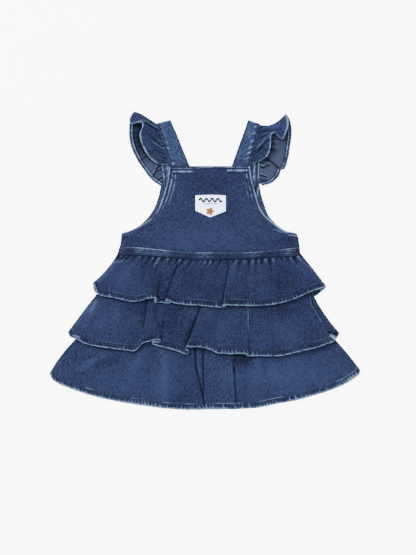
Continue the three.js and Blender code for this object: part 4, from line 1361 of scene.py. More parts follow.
@dataclass
class Ruffle:
    """A shoulder ruffle, gathered at the strap seam and free at its hem.

    The bow bends each line between seam and hem: up the dress, most at two thirds of the line, or
    where it is negative down the dress, most at its middle.
    """

    name: str
    seam_x: tuple
    seam_y: tuple
    seam_z: tuple
    hem_x: tuple
    hem_y: tuple
    hem_z: tuple
    bow: tuple
    front_creases: tuple[Crease, ...] = ()
    back_creases: tuple[Crease, ...] = ()
    face_down: bool = True
    sewn_in: float = 1.3
    lean: float = 30.0
    # Strength of the painted shadow that the raised part casts on the lower part
    hollow: float = 0.0
    pitch: float = 0.9
    seed: int = 80

    def wall(self) -> ClothWall:
        """Work out the ruffle: lines from seam to hem with gathers that lean up and fade outwards.

        Returns:
            The wall.
        """
        first = np.stack([self.seam_x, self.seam_y, self.seam_z], -1).astype(float)
        second = np.stack([self.hem_x, self.hem_y, self.hem_z], -1).astype(float)
        first[:, 0] += self.sewn_in if self.face_down else -self.sewn_in
        parts = np.concatenate([np.linspace(0, 0.84, 34), np.linspace(0.86, 1.0, 14)])
        points, along, part = Strip(first, second, parts, self.pitch).grid()
        bow = np.interp(self.section_of(second), np.arange(len(self.bow)), self.bow)[:, None]
        points[..., 1] += bow * np.where(bow > 0, 6.75 * part**2, 4 * part) * (1 - part)
        width = np.linalg.norm(points[:, -1] - points[:, 0], axis=1)[:, None]
        from_hem = (1 - part) * width
        upper = smooth((points[..., 2] - 2.4) / 2)
        # Gathers: waves that lean up the strap and fade outwards
        at_seam = running_length(points[:, 0])[:, None]
        reach = 0.45 * (1 + 0.6 * wander(at_seam, 6.0, self.seed + 3))
        fade = smooth(part / 0.05) * np.exp(-((part / reach) ** 1.5))
        curl = at_seam - self.lean * smooth((at_seam + 4) / 24) * part * upper
        wave = (gather_wave(curl, RUFFLE_PITCH * 0.7) + 0.4 * wander(curl, 2.6, self.seed + 4)) * fade
        long_wave = gather_wave(at_seam + 4, RUFFLE_PITCH * 2.1) * smooth(part / 0.3)
        x, y = points[..., 0], points[..., 1]
        creased, folded = self.amounts(Crease.height, x, y, upper)
        points[..., 2] += upper * (0.8 * wave + 0.45 * long_wave + 0.2 * lumps(x, y, 7, 9)) + creased
        low_wave = 0.5 * np.clip(wave, 0, 1) + 0.4 * np.clip(long_wave, 0, 1)
        points[..., 2] += (1 - upper) * low_wave + folded
        row = bell(from_hem - 4.9, 0.6)
        points[..., 2] = np.maximum(CLOTH / 2, points[..., 2] - 0.15 * row * upper)
        # Wear of the hem band; painted highlights on the gathers and creases; painted shade in the hollows,
        # under the raised part and its hem, and beside the hem's row
        flicker = 0.75 + 0.4 * wander(along, 2.6, self.seed + 1)
        bars = smooth((gather_wave(along, 3.4) + wander(along, 2.0, self.seed + 5)) / 1.2)
        band = smooth((mix(6.2, 5.6, upper) - from_hem) / 0.8)
        dashes = 0.65 + 0.5 * wander(along, 5.2, self.seed + 6) + 0.45 * wander(along, 24.0, self.seed + 12)
        dashes = np.clip(dashes, 0.1, 1.05)
        edge = mix(0.8, 1.15, upper) * bell(from_hem - 0.4, mix(1.4, 1.5, upper)) * flicker
        wear_and_highlight = edge + 0.35 * bars * band * (1 - 0.7 * upper) + 0.26 * np.clip(wave, 0, 1)
        wear_and_highlight = wear_and_highlight + (1.25 * dashes * (1 - upper) + 0.12 * upper) * bell(from_hem - 4.8, 0.7)
        rubbed_and_highlit, rubbed_and_highlit_under = self.amounts(Crease.paleness, x, y, upper)
        wear_and_highlight = wear_and_highlight + rubbed_and_highlit + rubbed_and_highlit_under
        shade = 0.9 * np.clip(-wave, 0, 1) + 0.5 * bell(part * width, 1.6)
        shade = shade + (0.85 * bell(from_hem - 6.7, 0.8) + 0.4 * bell(from_hem - 3.0, 0.7)) * (1 - upper)
        shade = shade + self.hollow * (1 - upper) * (1 - band) * smooth((y - 140) / 30)
        dark, dark_under = self.amounts(Crease.darkness, x, y, upper)
        shade = shade + dark + dark_under
        shade = shade + 0.95 * np.exp(-self.hem_distance(points) / 2.4) * (1 - upper)
        inside = (1 - band, 0.0) if self.face_down else (0.0, 1 - band)
        thickness = CLOTH * 1.05 * rounded(from_hem, 0.8)
        cloth = np.stack([along, from_hem], -1)
        return ClothWall(self.name, points, thickness, np.clip(wear_and_highlight, 0, 2.2), np.clip(shade, 0, 1), inside,
                         cloth, 0.02 * upper - 0.32)

    def amounts(self, amount: Callable, x: Array, y: Array, upper: Array) -> tuple[Array, Array]:
        """An amount of the raised part's creases, and the same of the lower part's."""
        front = add_up(self.front_creases, amount, x, y) * upper
        return front, add_up(self.back_creases, amount, x, y) * (1 - upper)

    def section_of(self, hem: Array) -> Array:
        """Row of the tables, with its fraction, at each column of the grid."""
        lengths = np.linalg.norm(np.diff(hem, axis=0), axis=1)
        return spread(lengths, self.pitch, 4) * len(lengths)

    def hem_distance(self, points: Array) -> Array:
        """Distance on the dress from every point to the raised part of the hem (mm).

        Args:
            points: the ruffle's grid of points.

        Returns:
            The distance at every point.
        """
        hem = points[:, -1]
        raised = hem[hem[:, 2] > 4.0][::3]
        away = points[..., None, :2] - raised[:, :2]
        return np.sqrt((away**2).sum(axis=-1)).min(axis=-1)


@dataclass
class Patch:
    """The white woven patch on the bib, with a stitched border and a plain flower motif."""

    bodice: Bodice
    left: float = -14.2
    right: float = 30.9
    top: float = 97.1
    crown: float = 0.8
    tip: tuple[float, float] = (7.8, 65.0)
    left_foot: float = 74.8
    right_foot: float = 74.2
    lift: float = CLOTH / 2 + SEAM_GAP + PATCH / 2 - 0.1
    inset: float = 1.6
    wave: tuple = (90.4, 2.8, 8.6)
    dashes: float = 84.8
    flower_centre: tuple = (7.4, 73.6)
    petals: tuple = (5.5, 4.7, 3.9, 3.1, 2.3, 1.5, 0.8)

    def foot(self, x: Array) -> Array:
        """Lower edge: two straight lines that meet at the tip."""
        corners = (self.left, self.tip[0], self.right)
        return np.interp(x, corners, (self.left_foot, self.tip[1], self.right_foot))

    def head(self, x: Array) -> Array:
        """Upper edge: a straight line with a low crown."""
        return self.top + self.crown * np.sin(math.pi * (x - self.left) / (self.right - self.left))

    def height(self, x: Array, y: Array) -> Array:
        """Height of the patch's ply on the bib.

        Args:
            x: across the dress in mm.
            y: up the dress in mm.

        Returns:
            The height of the ply's middle in mm.
        """
        lumpy = 0.28 * lumps(x, y, 34, 11) + 0.12 * lumps(x, y, 13, 12)
        creased = add_up(self.bodice.creases, Crease.height, x, y)
        return self.bodice.height(x, y) + lumpy + creased + self.lift

    def wall(self) -> ClothWall:
        """Work out the patch, dipped along its sewn border.

        Returns:
            The wall.
        """
        near = np.array([0.0, 0.004, 0.012, 0.025])
        parts = np.concatenate([near, np.linspace(0.04, 0.96, 60), 1 - near[::-1]])
        x = mix(self.left, self.right, parts)[:, None] * np.ones_like(parts)[None]
        y = mix(self.head(x), self.foot(x), parts[None])
        slope = math.cos(math.atan(0.45))
        from_foot = (y - self.foot(x)) * slope
        away = np.minimum.reduce([x - self.left, self.right - x, self.head(x) - y, from_foot])
        z = self.height(x, y) - 0.22 * bell(away - self.inset, 0.6) + 0.1 * lumps(x, y, 5, 15)
        points, thickness = np.stack([x, y, z], -1), PATCH * rounded(away, 0.5)
        shade = 0.35 * bell(away - self.inset, 0.5)
        return ClothWall("label_patch_cloth", points, thickness, np.zeros_like(x), shade)

    def lay(
        self, x: Array, y: Array, lift: float, length: float, gap: float, width: float, height: float = 0.4
    ) -> StitchRun:
        """Row of stitches laid along a line on the patch, lifted above its face.

        Args:
            x: across the dress in mm.
            y: up the dress in mm.
            lift: how far the row lies above the face.
            length: a stitch's length.
            gap: the space between stitches, negative where they overlap.
            width: a stitch's width.
            height: a stitch's height.

        Returns:
            The row.
        """
        z = self.height(x, y) + PATCH / 2 + lift
        up = np.tile([0.0, 0.0, 1.0], (len(x), 1))
        return StitchRun(np.column_stack([x, y, z]), up, length, gap, width, height)

    def border(self) -> list[StitchRun]:
        """Border stitches along the inset line.

        Returns:
            A row for each edge.
        """
        x = np.linspace(self.left + self.inset, self.right - self.inset, 60)
        lines = [(x, self.head(x) - self.inset), (x, self.foot(x) + self.inset * 1.1)]
        for at in (x[0], x[-1]):
            ends = (self.head(at) - self.inset, self.foot(at) + self.inset)
            lines.append((np.full(20, at), np.linspace(*ends, 20)))
        return [self.lay(*line, lift=0.0, length=1.7, gap=0.5, width=0.5, height=0.25) for line in lines]

    def waves(self) -> list[StitchRun]:
        """A wavy line, y = middle + height sin(2 pi x / length), over a straight row of dashes.

        Returns:
            The two rows.
        """
        middle, height, length = self.wave
        x = np.linspace(self.left + 5.5, self.right - 5.5, 160)
        wavy = middle + height * np.sin(2 * math.pi * x / length)
        short = x[30:-30]
        return [
            self.lay(x, wavy, lift=0.4, length=1.8, gap=-1.0, width=3.7),
            self.lay(short, np.full_like(short, self.dashes), 0.35, 2.2, 0.3, 2.3, 0.35),
        ]

    def flower(self) -> list[StitchRun]:
        """A small flower of five looped petals: r = size (0.5 + 0.5 |cos(5a / 2)|).

        Returns:
            A row for each ring.
        """
        turn = np.linspace(0, 2 * math.pi, 220)
        x, y = self.flower_centre
        runs = []
        for size in self.petals:
            radius = size * (0.5 + 0.5 * np.abs(np.cos(2.5 * turn)))
            petal = (x + radius * np.cos(turn), y + radius * np.sin(turn))
            runs.append(self.lay(*petal, lift=0.3, length=1.4, gap=-0.8, width=1.7))
        return runs


@dataclass
class Studio:
    """Camera straight above, a pale floor and soft light from all sides, strongest from above left."""

    centre: tuple[float, float] = (0.0045, -0.0255)
    view_height: float = 0.8325
    distance: float = 2.4
    sensor: float = 36.0
    floor_glow: float = 8.0
    brightness: float = 1.7

    def camera(self) -> None:
        """Place the camera so that a pixel of the picture covers 1.5 mm of the floor."""
        data = bpy.data.cameras.new("camera")
        data.sensor_width = self.sensor
        data.lens = self.sensor * self.distance / self.view_height
        data.clip_end = 20.0
        camera = add_object("camera", data)
        camera.location = (*self.centre, self.distance)
        bpy.context.scene.camera = camera

    def floor(self) -> None:
        """Lay a pale floor just under the dress."""
        size, level = 4.0, -0.0003
        mesh = bpy.data.meshes.new("floor")
        corners = [(-size, -size, level), (size, -size, level), (size, size, level), (-size, size, level)]
        mesh.from_pydata(corners, [], [(0, 1, 2, 3)])
        g = Graph("floor_paper")
        white = (0.98, 0.98, 0.98, 1.0)
        mesh.materials.append(g.surface({
            "Base Color": white,
            "Roughness": 1.0,
            "Specular IOR Level": 0.0,
            "Emission Color": white,
            "Emission Strength": self.floor_glow,
        }))
        add_object("floor", mesh)

    def light(self) -> None:
        """Light the dress with a bright sky and two soft lamps."""
        world = bpy.data.worlds.new("studio")
        world.use_nodes = True
        sky = world.node_tree.nodes["Background"]
        sky.inputs["Color"].default_value = (1.0, 1.0, 1.0, 1.0)
        sky.inputs["Strength"].default_value = 0.5 * self.brightness
        bpy.context.scene.world = world
        self.lamp("key_lamp", (-1.4, 1.3, 1.1), 34.0 * self.brightness, 0.6)
        self.lamp("fill_lamp", (1.6, -0.8, 1.8), 4.0 * self.brightness, 1.2)

    def lamp(self, name: str, place: Triple, power: float, size: float) -> None:
        """Add a square area lamp that faces the dress.

        Args:
            name: the lamp's name.
            place: where it stands, in metres.
            power: its power in watts.
            size: its side in metres.
        """
        data = bpy.data.lights.new(name, "AREA")
        data.energy, data.size = power, size
        lamp = add_object(name, data)
        lamp.location = place
        x, y, z = place
        lamp.rotation_euler = (math.atan2(math.hypot(x, y), z), 0.0, math.atan2(y, x) + math.pi / 2)


# A station's numbers: top, hem, drop, rise, shift and bow, from left to right (mm)
TIER_1 = stations(
    (-130.2, -168.6, -34.2, 0, 0, 4), (-127, -165.2, -47, 0.3, 0, 4), (-123, -158, -52, 0.8, 0, 2),
    (-112, -139.5, -55.7, 1.2), (-104, -125.7, -58.5, 0.8), (-94, -109.6, -62), (-86, -98, -61, 0.6),
    (-76, -87.5, -57.8, 1.5), (-66, -77, -56.4, 2.1), pleat(-62, -72.5, 3, (-57, 2.2), (-62.8, 0.3)),
    (-52, -66, -63.2, 0.2), pleat(-38, -59, 8, (-63.8, 0.1), (-57.8, 3)), (-30, -50, -62.8, 2.4),
    (-20, -29, -66.6, 1.4), (0, -6.8, -67.8, 0.8), (26, 18, -70.4, 0.2),
    pleat(37, 27, 3, (-71, 0), (-67.2, 3)), (48, 38, -67.4, 2.8), (60, 54, -67.8, 1.8),
    (76, 74, -68.2, 0.8), (92, 98, -66.6, 0.5), (108, 119, -62.4, 0.9), (120, 135.3, -57.2, 1.4),
    (131, 161.5, -45.6, 1.6), (137, 173, -42, 0.6), (141.4, 181.8, -38.8, 0, 0, 0.4),
)
TIER_2 = stations(
    (-138, -205.6, -107.8, 0, 0, -2), (-134, -201.8, -114.6, 0.2, 0, -2), (-130, -192.8, -117.9, 0.5),
    (-122, -178.9, -124.8, 0.8), (-114, -166.5, -128, 0.7), (-98, -140.2, -132, 0.4),
    (-84, -117.8, -134.7, 0.2), (-76, -105.9, -135.8), (-72, -99.8, -131.2, 1.2),
    (-67, -94.5, -125.2, 1.6), (-60, -82.5, -121, 2.1),
    pleat(-52, -67, 12, (-119.2, 2.2), (-125.8, 0.2)), (-42, -53.2, -132.2, 0.4),
    (-30, -40.5, -136.5, 0.2), pleat(4, -28.5, 3, (-140.8, 0), (-128.8, 3.2)), (8, -21.6, -129.6, 3.3),
    (14, -10, -129.6, 3), (20, -0.6, -131.4, 2.4), (25, 8.1, -133.8, 1.7), (30, 17.7, -138.6, 0.8),
    (40, 37.8, -140.1, 0.7), (50, 52.5, -139.6, 1.8), pleat(61, 64, 2, (-140.6, 2.8), (-143.2, 0)),
    (76, 76.5, -143.4), (84, 90, -143.2, 0.1), (96, 112.8, -143, 0.4), (112, 137.8, -137.7, 1),
    (128, 168, -130.2, 1.3), (138, 183, -125, 1), (146, 194.2, -120.6, 0.5, 0, -5),
    (152, 201.8, -109, 0, 0, -7),
)
TIER_3 = stations(
    (-166.5, -233.6, -169.5, 0, 0, -6.5), (-163, -228.4, -178.7, 0.2, 0, -5),
    (-158, -217.6, -185.6, 0.5, 0, -2), (-148, -197, -194, 0.8), (-132, -171.8, -202.2, 1),
    (-106, -133.8, -211.2, 0.8), (-88, -110.1, -215.2, 0.6), (-68, -82.5, -219.2, 0.8),
    (-42, -48.9, -223.1, 0.6), (-28, -29, -224.1, 0.2, 0, -3), (-21, -7, -224, 0, 0, -6),
    pleat(-15, 1.5, 1.5, (-223.4, 0), (-223.1, 2.8), -7), (-6, 11, -223.3, 3, 0, -6),
    (10, 24, -223.2, 2.6, 0, -3), (30, 38, -223.2, 2.9), pleat(40, 46, 1.5, (-223.2, 2.8), (-223.0, 0)),
    (48, 54, -222.9, 0.1), (64, 82.5, -220.4, 0.4), (80, 102.6, -216.1, 0.8), (108, 132.8, -210.7, 0.9),
    (134, 173, -199.7, 1.2), (156, 203.1, -188.7, 1), (166, 224.2, -176.8, 0.5),
    (169, 231.8, -170.4, 0.2), (171, 233.2, -164, 0, 0, 2),
)
TIER_1_BACK = stations(
    (-130.2, -166.6, -34.5, 0, 0, 4), (-124, -156, -50), (-60, -76, -54), (10, 10, -62),
    (100, 120, -58), (130, 164.7, -54), (137, 178, -44), (141.4, 182.4, -40.5),
)
TIER_2_BACK = stations(
    (-138, -203.7, -108, 0, 0, -2), (-130, -192, -116), (-84, -117, -119), (10, 10, -124),
    (110, 137, -122), (146, 193, -117), (152, 200.4, -109.5, 0, 0, -7),
)
TIER_3_BACK = stations(
    (-166.5, -232.2, -169.5, 0, 0, -3), (-158, -215, -184.5), (-132, -171, -200.5), (-60, -70, -217.5),
    (10, 10, -219.5), (80, 100, -213.5), (134, 172, -198), (164, 221, -176),
    (171, 231.2, -164.8, 0, 0, 2),
)
UNDER_SKIRT = stations(
    (-119, -165, -91.8), (10, 10, -91.8), (130, 169, -91.8),
)

# Creases and tone patches of the front tiers; the creases carry painted shade lines and pale lines that are
# partly painted highlights, and one tier 3 patch is painted shade
TIER_1_CREASES = (
    Crease((-39, 2), (-59.6, -60), -0.5, 2.5, 1.0, 0.06, 1.25, 1, 0.1),
    Crease((36.8, 2), (24.6, -70), -0.5, 2.5, 1.0, 0.1, 1.25, 1, 0.1, 0.15),
    Crease((-65, -4), (-66, -52), -0.3, 4.0, 0.14, 0.06, 1.4, -1, 0.3),
    Crease((-146, -6), (-112, 1), 1.3, 2.6, 0.0, 0.2, 2.0, soft_pale=0.2),
    Crease((-164, -34), (-156, -54), -0.3, 1.6, 0.7, 0.6, 1.4, -1, 0.15),
    Crease((-136, 2), (-112, 5), -1.2, 2.4, 0.7, 0.0, 1.8),
    Crease((-112, -2), (-120, -50), 0.5, 7.0, 0.0, 0.12, 5.0),
    Crease((-86, -4), (-96, -40), -0.4, 5.0, 0.3, 0.15, 2.2),
    Crease((2, -4), (-8, -60), -0.35, 7.0, 0.0, 0.1, 3.0),
    Crease((42.6, -2), (42.4, -26), 0.3, 3.0, 0.0, 0.1, 1.6, soft_pale=0.3),
    Crease((64, -6), (70, -60), -0.4, 7.0, 0.0, 0.12, 4.0),
    Crease((78, -4), (80, -36), 0.5, 5.0, 0.12, 0.14, 2.5),
    Crease((96, -4), (112, -52), 0.5, 6.0),
    Crease((104, -1), (132, -24), -0.6, 4.0, 0.3, 0.1, 2.5),
    Crease((118, 0), (150, -44), -0.6, 5.0, 0.1, 0.0, 4.0),
    Crease((128, 2), (168, -36), 0.6, 4.0, 0.0, 0.14, 3.0),
)
TIER_1_FADES = (
    TonePatch(-118, -28, 26, 20, 0.35), TonePatch(62, -26, 40, 22, 0.12), TonePatch(-76, -30, 14, 30, -0.25),
    TonePatch(0, -40, 30, 24, -0.1), TonePatch(120, -30, 20, 14, -0.2), TonePatch(142, -20, 26, 20, 0.12),
)
TIER_2_CREASES = (
    Crease((-86, -54), (-92.5, -104), -0.9, 2.0, 1.0, 0.08, 1.3, 1, 0.12),
    Crease((-90, -58), (-96, -104), -0.4, 2.0, 0.4, 0.0, 1.0, 1, 0.3),
    Crease((-80, -62), (-65, -120), 0.5, 3.0, 0.4, 0.12, 1.6, -1, 0.25),
    Crease((-6, -66), (-29.5, -130), -0.5, 2.6, 1.1, 0.1, 1.6, 1, 0.1, 0.15),
    Crease((-17, -84), (-34, -134), -0.3, 4.0, 0.38, 0.0, 4.2, 1, 0.25),
    Crease((64.6, -66), (63.2, -144), 0.3, 1.8, 0.0, 0.18, 1.2, 1, 0.08, 0.1),
    Crease((-162, -56), (-178, -82), 0.4, 4.0, 0.0, 0.2, 3.6, soft_pale=0.25),
    Crease((-150, -56), (-186, -112), 0.7, 5.0, 0.0, 0.1, 4.0),
    Crease((-126, -60), (-142, -124), 0.6, 8.0, 0.0, 0.12, 6.0),
    Crease((-72, -62), (-76, -92), -0.5, 4.0, 0.35, 0.0, 2.4),
    Crease((-40, -66), (-46, -120), 0.4, 6.0, 0.16, 0.1, 3.0),
    Crease((24, -72), (18, -126), -0.5, 8.0, 0.0, 0.12, 5.0),
    Crease((96, -68), (104, -136), 0.5, 8.0, 0.14, 0.1, 4.0),
    Crease((132, -62), (150, -126), -0.5, 8.0),
    Crease((157.5, -44), (162.8, -73), -0.7, 2.4, 0.6, 0.3, 1.4, -1, 0.15, 0.2),
    Crease((160, -62), (176.5, -91), -0.8, 2.4, 0.55, 0.26, 1.4, -1, 0.15, 0.2),
    Crease((172.5, -83), (184.5, -109), -0.6, 2.4, 0.4, 0.2, 1.4, -1, 0.15, 0.15),
    Crease((64.8, -74), (64, -118), 0.2, 1.6, 0.0, 0.24, 0.8, -1, 0.12),
    Crease((-163, -52), (-178, -84), 0.5, 3.0, 0.25, 0.22, 2.6, 1, 0.35, 0.25),
    Crease((-199, -111.5), (-186.5, -115.6), 0.2, 2.0, 0.0, 0.75, 1.5, 1, 0.25),
    Crease((182, -106.5), (199, -111), -0.3, 2.0, 0.6, 0.0, 2.2, 1, 0.2),
    Crease((186.5, -111), (198, -118.5), 0.2, 2.0, 0.0, 1.3, 2.0, 1, 0.2),
    Crease((162, -54), (196, -108), 0.6, 3.0),
)
TIER_2_FADES = (
    TonePatch(-156, -84, 30, 24, 0.3), TonePatch(-100, -72, 16, 12, -0.25), TonePatch(-50, -90, 20, 40, -0.18),
    TonePatch(28, -96, 26, 34, 0.1), TonePatch(120, -110, 44, 26, 0.18), TonePatch(112, -72, 40, 10, -0.25),
)
TIER_3_CREASES = (
    Crease((-15.8, -124), (-12.6, -170), -0.7, 2.0, 1.2, 0.12, 1.6, 1, 0.1, 0.15),
    Crease((-13.6, -158), (1.0, -221), -0.7, 2.0, 1.1, 0.16, 1.5, 1, 0.1, 0.15),
    Crease((-3.4, -124), (-1.8, -208), -0.8, 1.8, 1.3, 0.12, 1.25, 1, 0.1, 0.1),
    Crease((44, -138), (42.8, -170), 0.5, 3.0, 0.6, 0.1, 2.4, -1, 0.2, 0.1),
    Crease((42.6, -154), (46.4, -224), 0.5, 2.4, 0.6, 0.12, 1.8, -1, 0.15, 0.25),
    Crease((-137, -136), (-200, -168), 0.5, 4.0, 0.0, 0.05, 2.4, soft_pale=0.4),
    Crease((-92, -132), (-105, -162), 0.5, 4.0, 0.1, 0.05, 2.0, soft_pale=0.4),
    Crease((-59.4, -134), (-61, -212), 0.4, 5.0, 0.0, 0.05, 2.2, soft_pale=0.4),
    Crease((-150, -130), (-190, -190), 0.5, 8.0),
    Crease((-104, -150), (-126, -206), 0.6, 10.0, 0.0, 0.1, 5.0),
    Crease((-36, -136), (-40, -214), 0.5, 9.0),
    Crease((78, -140), (84, -176), 0.4, 5.0, 0.1, 0.04, 2.4, soft_pale=0.3),
    Crease((96, -142), (104, -186), -0.5, 6.0, 0.1, 0.06, 2.6, soft_pale=0.35),
    Crease((124, -150), (132, -196), 0.6, 8.0, 0.0, 0.1, 4.0),
    Crease((150, -130), (184, -186), -0.5, 8.0),
    Crease((176, -128), (212, -172), 0.5, 7.0, 0.0, 0.1, 5.0),
    Crease((214, -181), (238, -168), 0.2, 2.5, 0.0, 1.2, 2.4, 1, 0.15),
)
TIER_3_FADES_AND_SHADE = (
    TonePatch(110, -176, 70, 26, 0.3), TonePatch(-110, -190, 50, 20, 0.2), TonePatch(-62, -180, 14, 40, 0.15),
    # The darker patch at (56, -146) is painted shade to the right of the pleat's fold
    TonePatch(56, -146, 14, 14, -0.75), TonePatch(-150, -150, 24, 10, -0.2), TonePatch(-30, -200, 30, 20, -0.1),
    TonePatch(165, -165, 40, 22, 0.14),
)


@dataclass
class Skirt:
    """The three tiers and the under-skirt, front and back, with their stack of heights (mm)."""

    waist: Waist
    tier_2_seam: float = -21.5
    tier_3_seam: float = -92.2
    under_top: float = -1.0

    def level(self, at: float) -> Curve:
        """Seam at one height on the dress."""
        return lambda x: np.full(np.shape(x), at)

    def late(self, start: float) -> Curve:
        """Lift that begins at a part of the tier's length and is full at its hem."""
        return lambda v: smooth((v - start) / (1 - start))

    def fronts(self) -> list[Tier]:
        """The three front tiers, from the waist down.

        Returns:
            The tiers.
        """
        tier_1 = Tier(
            "tier_1_front_cloth", TIER_1, lambda x: self.waist.seam(x) - 0.4,
            profile([-30, -14, 1], [7.7, 7.5, 4.6]),
            profile([-40, -14, 3], [ply(3), ply(2), ply(1)]),
            self.late(0.3), body_rows=50, pitch=1.0, gathers=0.85, seed=101,
            creases=TIER_1_CREASES,
            tone_patches=TIER_1_FADES,
        )
        tier_2 = Tier(
            "tier_2_front_cloth", TIER_2, self.level(self.tier_2_seam),
            profile([-140, -70], [5.6, ply(4)]),
            profile([-140, -110, -96, -80, -64], [ply(3), ply(3), ply(2), ply(2), ply(3)]),
            self.late(0.3), body_rows=46, pitch=1.1, seed=121, swell=0.4, bars=0.5, over=tier_1.hem_line(),
            creases=TIER_2_CREASES,
            tone_patches=TIER_2_FADES,
        )
        tier_3 = Tier(
            "tier_3_front_cloth", TIER_3, self.level(self.tier_3_seam),
            profile([-222, -138], [2.4, ply(2)]),
            profile([-146, -134], [ply(1), ply(2)]),
            self.late(0.25), body_rows=48, pitch=1.2, seed=141, swell=0.45, bars=1.05, ticks=1.1,
            rim_at=1.5, over=tier_2.hem_line(),
            creases=TIER_3_CREASES,
            tone_patches=TIER_3_FADES_AND_SHADE,
        )
        return [tier_1, tier_2, tier_3]

    def backs(self) -> list[Tier]:
        """The back tiers and the under-skirt, which lie flat.

        Returns:
            The tiers.
        """
        plain = {
            "lift": np.zeros_like, "body_rows": 30, "pitch": 4.0, "turn": 0.0, "swell": 0.0, "wear": 0.8,
        }
        floor = profile([0], [ply(0)])
        step_2 = profile([-75, -67], [ply(0), ply(1)])
        step_3 = profile([-138, -130], [ply(0), ply(1)])
        step_under, step_over = (
            profile([-75, -67, -20, -12], [ply(low), ply(low + 1), ply(low + 1), ply(low)])
            for low in (1, 2)
        )
        top_2, top_3, top_under = (
            self.level(seam) for seam in (self.tier_2_seam, self.tier_3_seam, self.under_top)
        )
        rows = (
            ("tier_1_back", TIER_1_BACK, lambda x: self.waist.lower_line(x) - 0.4, floor, 161),
            ("tier_2_back", TIER_2_BACK, top_2, step_2, 171),
            ("tier_3_back", TIER_3_BACK, top_3, step_3, 181),
            ("under_skirt_back", UNDER_SKIRT, top_under, step_under, 191),
            ("under_skirt_front", UNDER_SKIRT, top_under, step_over, 201),
        )
        return [
            Tier(
                f"{name}_cloth", table, seam, step, step,
                face_down=name.endswith("back"), seed=seed, **plain,
            )
            for name, table, seam, step, seed in rows
        ]


STRAP_LEFT = Strap(
    "strap_left_cloth",
    outer_x=(-49.2, -53, -56.2, -60, -66, -70.4, -71.4, -72, -71.7, -71.2, -68.4, -63.0, -62.0, -61.0),
    outer_y=(130, 141.5, 153, 165, 185, 198, 202.4, 205.2, 202.6, 198, 170, 129, 121.5, 112),
    inner_x=(-17.8, -22.2, -26.9, -31.9, -40.6, -47.7, -50.2, -51.2, -51.0, -50.6, -48.4, -44.9, -44.2,
             -43.5),
    inner_y=(130, 140.5, 152, 164, 186, 202, 208, 210.4, 208, 202, 170, 129, 121.5, 112),
)
STRAP_RIGHT = Strap(
    "strap_right_cloth",
    outer_x=(64.4, 66.8, 70.2, 73.2, 78.2, 80.9, 81.6, 82, 82, 82, 81.8, 81.2, 81, 80.8),
    outer_y=(130, 139, 153, 165, 185, 197, 201.6, 204.4, 201.8, 197, 170, 129, 121.5, 112),
    inner_x=(36.0, 39.2, 43.3, 47.6, 55.6, 61.4, 63.4, 64.4, 64.2, 64, 62, 60.6, 60.2, 60),
    inner_y=(130, 140.5, 152, 164, 186, 202, 208, 210.2, 208, 202, 170, 129, 121.5, 112),
    mirrored=True,
    seed=70,
)
RUFFLE_LEFT = Ruffle(
    "shoulder_ruffle_left_cloth",
    seam_x=(-54, -56.8, -60.8, -64.4, -67.4, -69.4, -70.6, -71.6, -72.2, -72.6, -72.8, -72.6, -72.3, -71.6,
            -70.4, -68.8, -66.4, -63.6, -61.8),
    seam_y=(142.5, 152.8, 165.8, 177.6, 187, 193, 197.2, 200.2, 202.4, 204.0, 204.4, 203, 199, 190,
            178, 164, 148, 131, 115.4),
    seam_z=(2.8, 3.4, 4.2, 4.8, 5.0, 5.1, 5.1, 4.9, 4.4, 3.6, 2.8, 1.9, 0.9, *[0.5] * 6),
    hem_x=(-58.8, -70.5, -82.5, -93, -97.5, -93.6, -95.4, -103.6, -112.0, -113.2, -107.4, -112.4, -114.2,
           -114.2, -111.6, -101.8, -91.8, -80.4, -67.4),
    hem_y=(143.4, 144.8, 153.8, 170.2, 188.2, 201, 207.4, 206, 204.6, 212.5, 222.8, 213, 200, 186,
           171.8, 150.0, 135.4, 121.0, 111.6),
    hem_z=(3.2, 4.2, 6.4, 8.0, 9.6, 10.6, 10.2, 9.0, 8.0, 6.6, 4.6, 2.4, 0.7, *[0.5] * 6),
    bow=(0, 0, 0, 1, 2, 3, 3, 2.5, 2.5, 2.5, 2.5, 2, *[0] * 7),
    hollow=0.72,
    front_creases=(
        Crease((-91, 207), (-69.5, 193.6), -0.8, 1.8, 1.1, 0.0, 1.3, 1, 0.15),
        Crease((-95, 211), (-68, 196.6), 0.7, 2.2, 0.0, 0.22, 1.2, 1, 0.2, 0.2),
        Crease((-81.5, 186), (-63, 170.5), -0.6, 1.6, 0.7, 0.25, 1.2, 1, 0.25),
        Crease((-84, 179), (-62, 164.5), -0.6, 1.6, 0.6, 0.25, 1.2, 1, 0.25),
    ),
    back_creases=(
        Crease((-98, 149.5), (-85, 157), -0.3, 1.6, 0.8, 0.0, 1.1, 1, 0.15),
        Crease((-69, 143.4), (-78.6, 124), 0.8, 2.0, 1.0, 0.3, 1.4, -1, 0.15),
        Crease((-62, 140), (-70, 134), 0.4, 1.4, 0.9, 0.3, 1.0, 1, 0.2),
        Crease((-62, 134), (-73, 127), 0.4, 1.4, 0.8, 0.3, 1.0, 1, 0.2),
        Crease((-62, 127), (-73, 119), 0.4, 1.4, 0.8, 0.4, 1.0, 1, 0.2),
        Crease((-77.5, 126), (-63, 115.5), 0.0, 1.6, 0.6, 0.9, 1.1, -1, 0.15),
    ),
)
